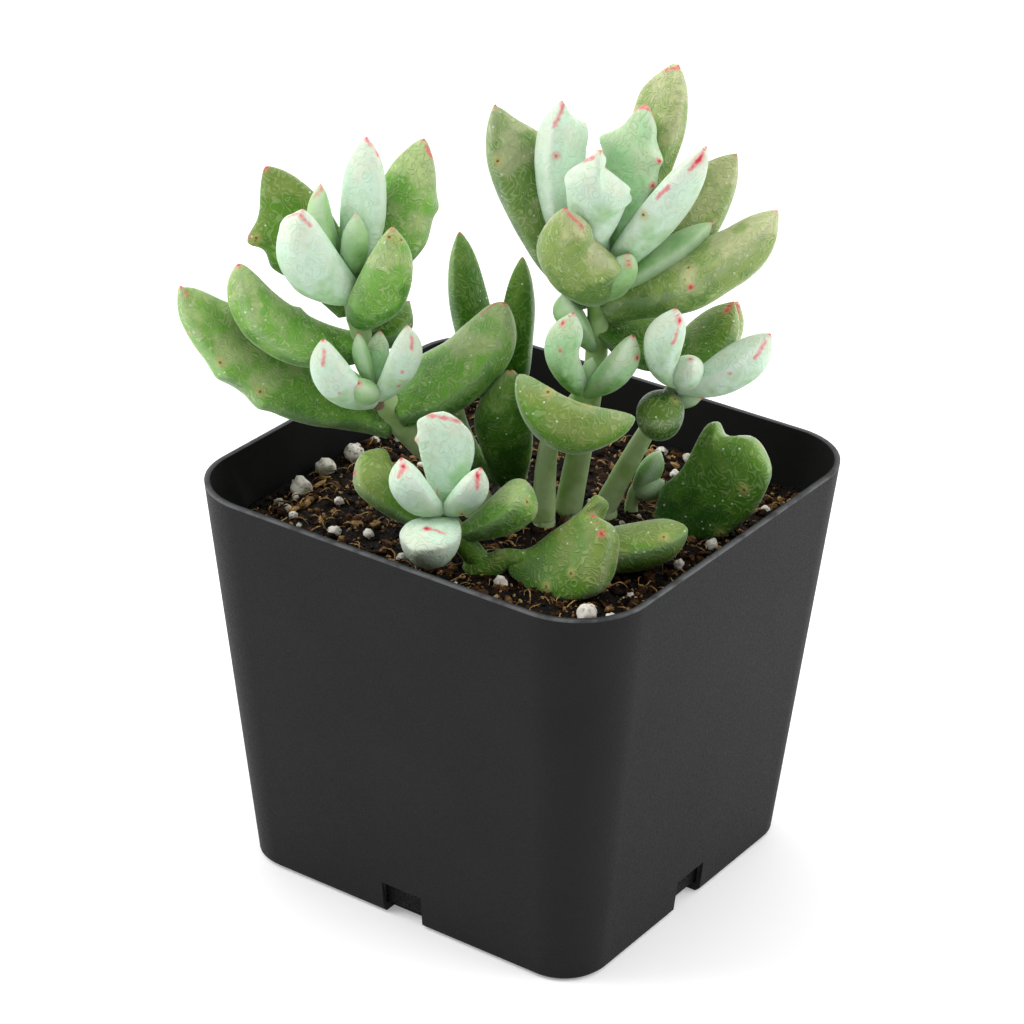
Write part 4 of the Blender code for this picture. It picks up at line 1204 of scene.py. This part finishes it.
# How loose pieces lie: how far out on the surface (as a share), their range of sizes (mm) and of
# tones (0 dark, 1 pale), how high their middle is over the soil, as a share of their size and in
# mm, how far lying ones tilt (radians; None: any turn), the power that crowds their sizes low, a
# factor on the sizes after that, and the power that crowds their tones low.
Litter = namedtuple("Litter", "reach sizes tones share lift tilt crowd enlarge dim",
                    defaults=(0, 0, None, 1, 1, 1))
LITTER = {
    "peat_crumbs": Litter(0.97, (0.35, 1.0), (0, 1), share=0.15, crowd=1.5, enlarge=1.15, dim=2),
    "peat_grit": Litter(0.97, (0.16, 0.5), (0, 1.1), share=0.2, dim=2),
    "bark_chips": Litter(0.95, (0.8, 1.9), (0, 0.9), lift=0.25, tilt=0.6),
    "coir_fibres": Litter(0.95, (1.2, 4.0), (0.3, 1.5), lift=0.2, tilt=0.5),
    "perlite_grains": Litter(0.95, (0.2, 0.85), None, share=0.25),
}

# Where the photo's larger white grains lie on the soil, x, y and radius (mm), and how high the
# middle of each is over the soil, as a share of its radius.
GRAIN_SHOWS = 0.35
WHITE_GRAINS = (
    (-39, -6, 2.2), (-37.5, -15, 2.1), (-37.5, 0.5, 1.9), (-29, -15, 1.0), (-23, -24, 1.2),
    (-17.5, -21.5, 1.0), (-40.5, 5, 0.9), (-39.5, 9, 0.9), (-38.5, -20, 0.9), (-35, -22, 0.9),
    (-32.5, -23.5, 0.8), (-8.5, -24, 1.0), (11, -22.5, 1.3), (29, -23, 1.9), (32.5, -21, 1.0),
    (31.5, 1, 1.0), (32, 10.5, 1.2), (30.5, 23.5, 1.0), (32, 28, 0.8), (5, 36, 1.2), (10, 37, 1.0),
    (11.5, 30.5, 1.0))


def drop_litter(bed, litter, rng):
    """Where a loose piece falls: its place, turn, size and tone."""
    x, y, z = bed.place(rng, litter.reach)
    size = rng.uniform(*litter.sizes) ** litter.crowd * litter.enlarge * MM
    z += litter.share * size + litter.lift * MM
    turn = any_turn(rng) if litter.tilt is None else lying_turn(rng, litter.tilt)
    tone = rng.uniform(*litter.tones) ** litter.dim if litter.tones else 0.0
    return (x, y, z), turn, size, tone


def set_grain(bed, grains, rng):
    """Where the next of the large white grains lies."""
    x, y, radius = (value * MM for value in next(grains))
    height = bed.height(x, y, max(abs(x) / bed.top[0], abs(y) / bed.top[1]) * 2)
    return (x, y, height + GRAIN_SHOWS * radius), any_turn(rng), radius, 0.0


class CotyledonLoosePieces(bpy.types.Operator):
    """Scatter the loose crumbs, bark chips, fibres and white grains over the potting mix."""
    bl_idname = "object.cotyledon_loose_pieces"
    bl_label = "Crumbs, bark, fibres and perlite"

    def execute(self, context):
        bed = SoilBed(context.scene)
        soil = bed.soil
        rng = random.Random(soil.seed)
        shapes = {
            "peat_crumbs": [rough_ball(seed, 2, (1, 0.8, 0.7), 0.5) for seed in range(5)],
            "peat_grit": [rough_ball(seed, 1, (1, 0.7, 0.6), 0.4) for seed in range(40, 46)],
            "bark_chips": [rough_ball(seed, 2, (1, 0.55, 0.22), 0.45) for seed in range(9, 14)],
            "coir_fibres": [bent_thread(rng) for _ in range(8)],
            "perlite_grains": [rough_ball(seed, 3, (1, 0.92, 0.85), 0.28)
                               for seed in range(20, 25)],
        }
        for name, count in (("peat_crumbs", soil.crumbs), ("peat_grit", soil.grit),
                            ("bark_chips", soil.bark), ("coir_fibres", soil.fibres)):
            obj = scatter(name, shapes[name], rng, count, partial(drop_litter, bed, LITTER[name]))
            settle(obj, name, bpy.data.materials["peat"], "soil")
        name = "perlite_grains"
        white = scatter(name, shapes[name], rng, soil.perlite,
                        partial(drop_litter, bed, LITTER[name]))
        large = scatter("large_perlite", shapes[name], rng, len(WHITE_GRAINS),
                        partial(set_grain, bed, iter(WHITE_GRAINS)))
        select_only(white, large)
        bpy.ops.object.join()
        settle(white, name, perlite_stuff(soil), "soil")
        return {"FINISHED"}


class CotyledonStage(bpy.types.Operator):
    """Set up the pale floor, the soft studio light and the camera."""
    bl_idname = "scene.cotyledon_stage"
    bl_label = "Stage"

    def execute(self, context):
        stage = context.scene.cotyledon_stage
        self.floor(stage)
        self.sky(context, stage)
        self.soft_light("left_light", -150, stage.left)
        self.soft_light("right_light", 20, stage.right)
        self.camera(context, stage)
        context.scene.view_settings.view_transform = "Standard"
        return {"FINISHED"}

    @staticmethod
    def floor(stage):
        """A pale floor, faintly lit from below."""
        select_only()
        bpy.ops.mesh.primitive_plane_add(size=6, location=(0, 0, 0))
        floor = bpy.context.object
        floor.name = "stage_floor"
        material, sheet, shader = new_material("pale floor")
        sheet.fill(shader, {
            "Base Color": stage.floor, "Roughness": 0.9, "Specular IOR Level": 0.1,
            "Emission Color": (1.0, 1.0, 1.0), "Emission Strength": stage.table})
        floor.data.materials.append(material)

    @staticmethod
    def sky(context, stage):
        """White light all round, weaker from the camera's side."""
        world = bpy.data.worlds.new("studio")
        world.use_nodes = True
        sheet = NodeSheet(world.node_tree)
        way = sheet.add("ShaderNodeTexCoord").outputs["Generated"]
        front = ((stage.camera - stage.target) * Vector((1, 1, 0))).normalized()
        facing = sheet.vector("DOT_PRODUCT", way, front, "Value")
        strength = sheet.between(facing, -0.2, 0.9, stage.sky, stage.sky * stage.front)
        sheet.fill(world.node_tree.nodes["Background"],
                   {"Color": (1.0, 1.0, 1.0), "Strength": strength})
        context.scene.world = world

    @staticmethod
    def soft_light(name, heading, power, rise=40, away=2.0, size=1.3, aim=Vector((0, 0, 0.08))):
        """A square soft box that looks at the plant from a compass heading and a rise."""
        heading, rise = math.radians(heading), math.radians(rise)
        way = Vector((math.cos(heading) * math.cos(rise), math.sin(heading) * math.cos(rise),
                      math.sin(rise)))
        bpy.ops.object.light_add(type="AREA", location=aim + way * away)
        light = bpy.context.object
        light.name = name
        light.data.shape = "SQUARE"
        light.data.size = size
        light.data.energy = power
        light.rotation_euler = way.to_track_quat("Z", "Y").to_euler()

    @staticmethod
    def camera(context, stage):
        bpy.ops.object.camera_add(location=stage.camera)
        camera = context.object
        camera.name = "photo_camera"
        sight = (stage.target - stage.camera).to_track_quat("-Z", "Y").to_matrix()
        camera.rotation_euler = (sight @ Matrix.Rotation(stage.roll, 3, "Z")).to_euler()
        camera.data.lens = stage.lens
        camera.data.sensor_width = 36
        camera.data.clip_start = 0.01
        camera.data.clip_end = 20
        context.scene.camera = camera


class CotyledonPanel(bpy.types.Panel):
    """The sidebar tab that lists the pieces of the potted cotyledon."""
    bl_label = "Potted Cotyledon"
    bl_idname = "VIEW3D_PT_cotyledon"
    bl_space_type = "VIEW_3D"
    bl_region_type = "UI"
    bl_category = "Cotyledon"

    def draw(self, context):
        for operator in OPERATORS:
            self.layout.operator(operator.bl_idname)


SETTINGS = {
    "cotyledon_pot": CotyledonPotSettings,
    "cotyledon_soil": CotyledonSoilSettings,
    "cotyledon_leaf": CotyledonLeafSettings,
    "cotyledon_stage": CotyledonStageSettings,
}
OPERATORS = (CotyledonPot, CotyledonSoil, CotyledonLoosePieces, CotyledonShoots, CotyledonStage)


def register():
    for cls in (*SETTINGS.values(), *OPERATORS, CotyledonPanel):
        bpy.utils.register_class(cls)
    for name, cls in SETTINGS.items():
        setattr(bpy.types.Scene, name, PointerProperty(type=cls))


def unregister():
    for name in SETTINGS:
        delattr(bpy.types.Scene, name)
    for cls in (CotyledonPanel, *reversed(OPERATORS), *reversed(list(SETTINGS.values()))):
        bpy.utils.unregister_class(cls)


def main():
    register()
    bpy.ops.object.cotyledon_pot()
    bpy.ops.object.cotyledon_soil()
    bpy.ops.object.cotyledon_loose_pieces()
    bpy.ops.object.cotyledon_shoots()
    bpy.ops.scene.cotyledon_stage()


if __name__ == "__main__":
    main()
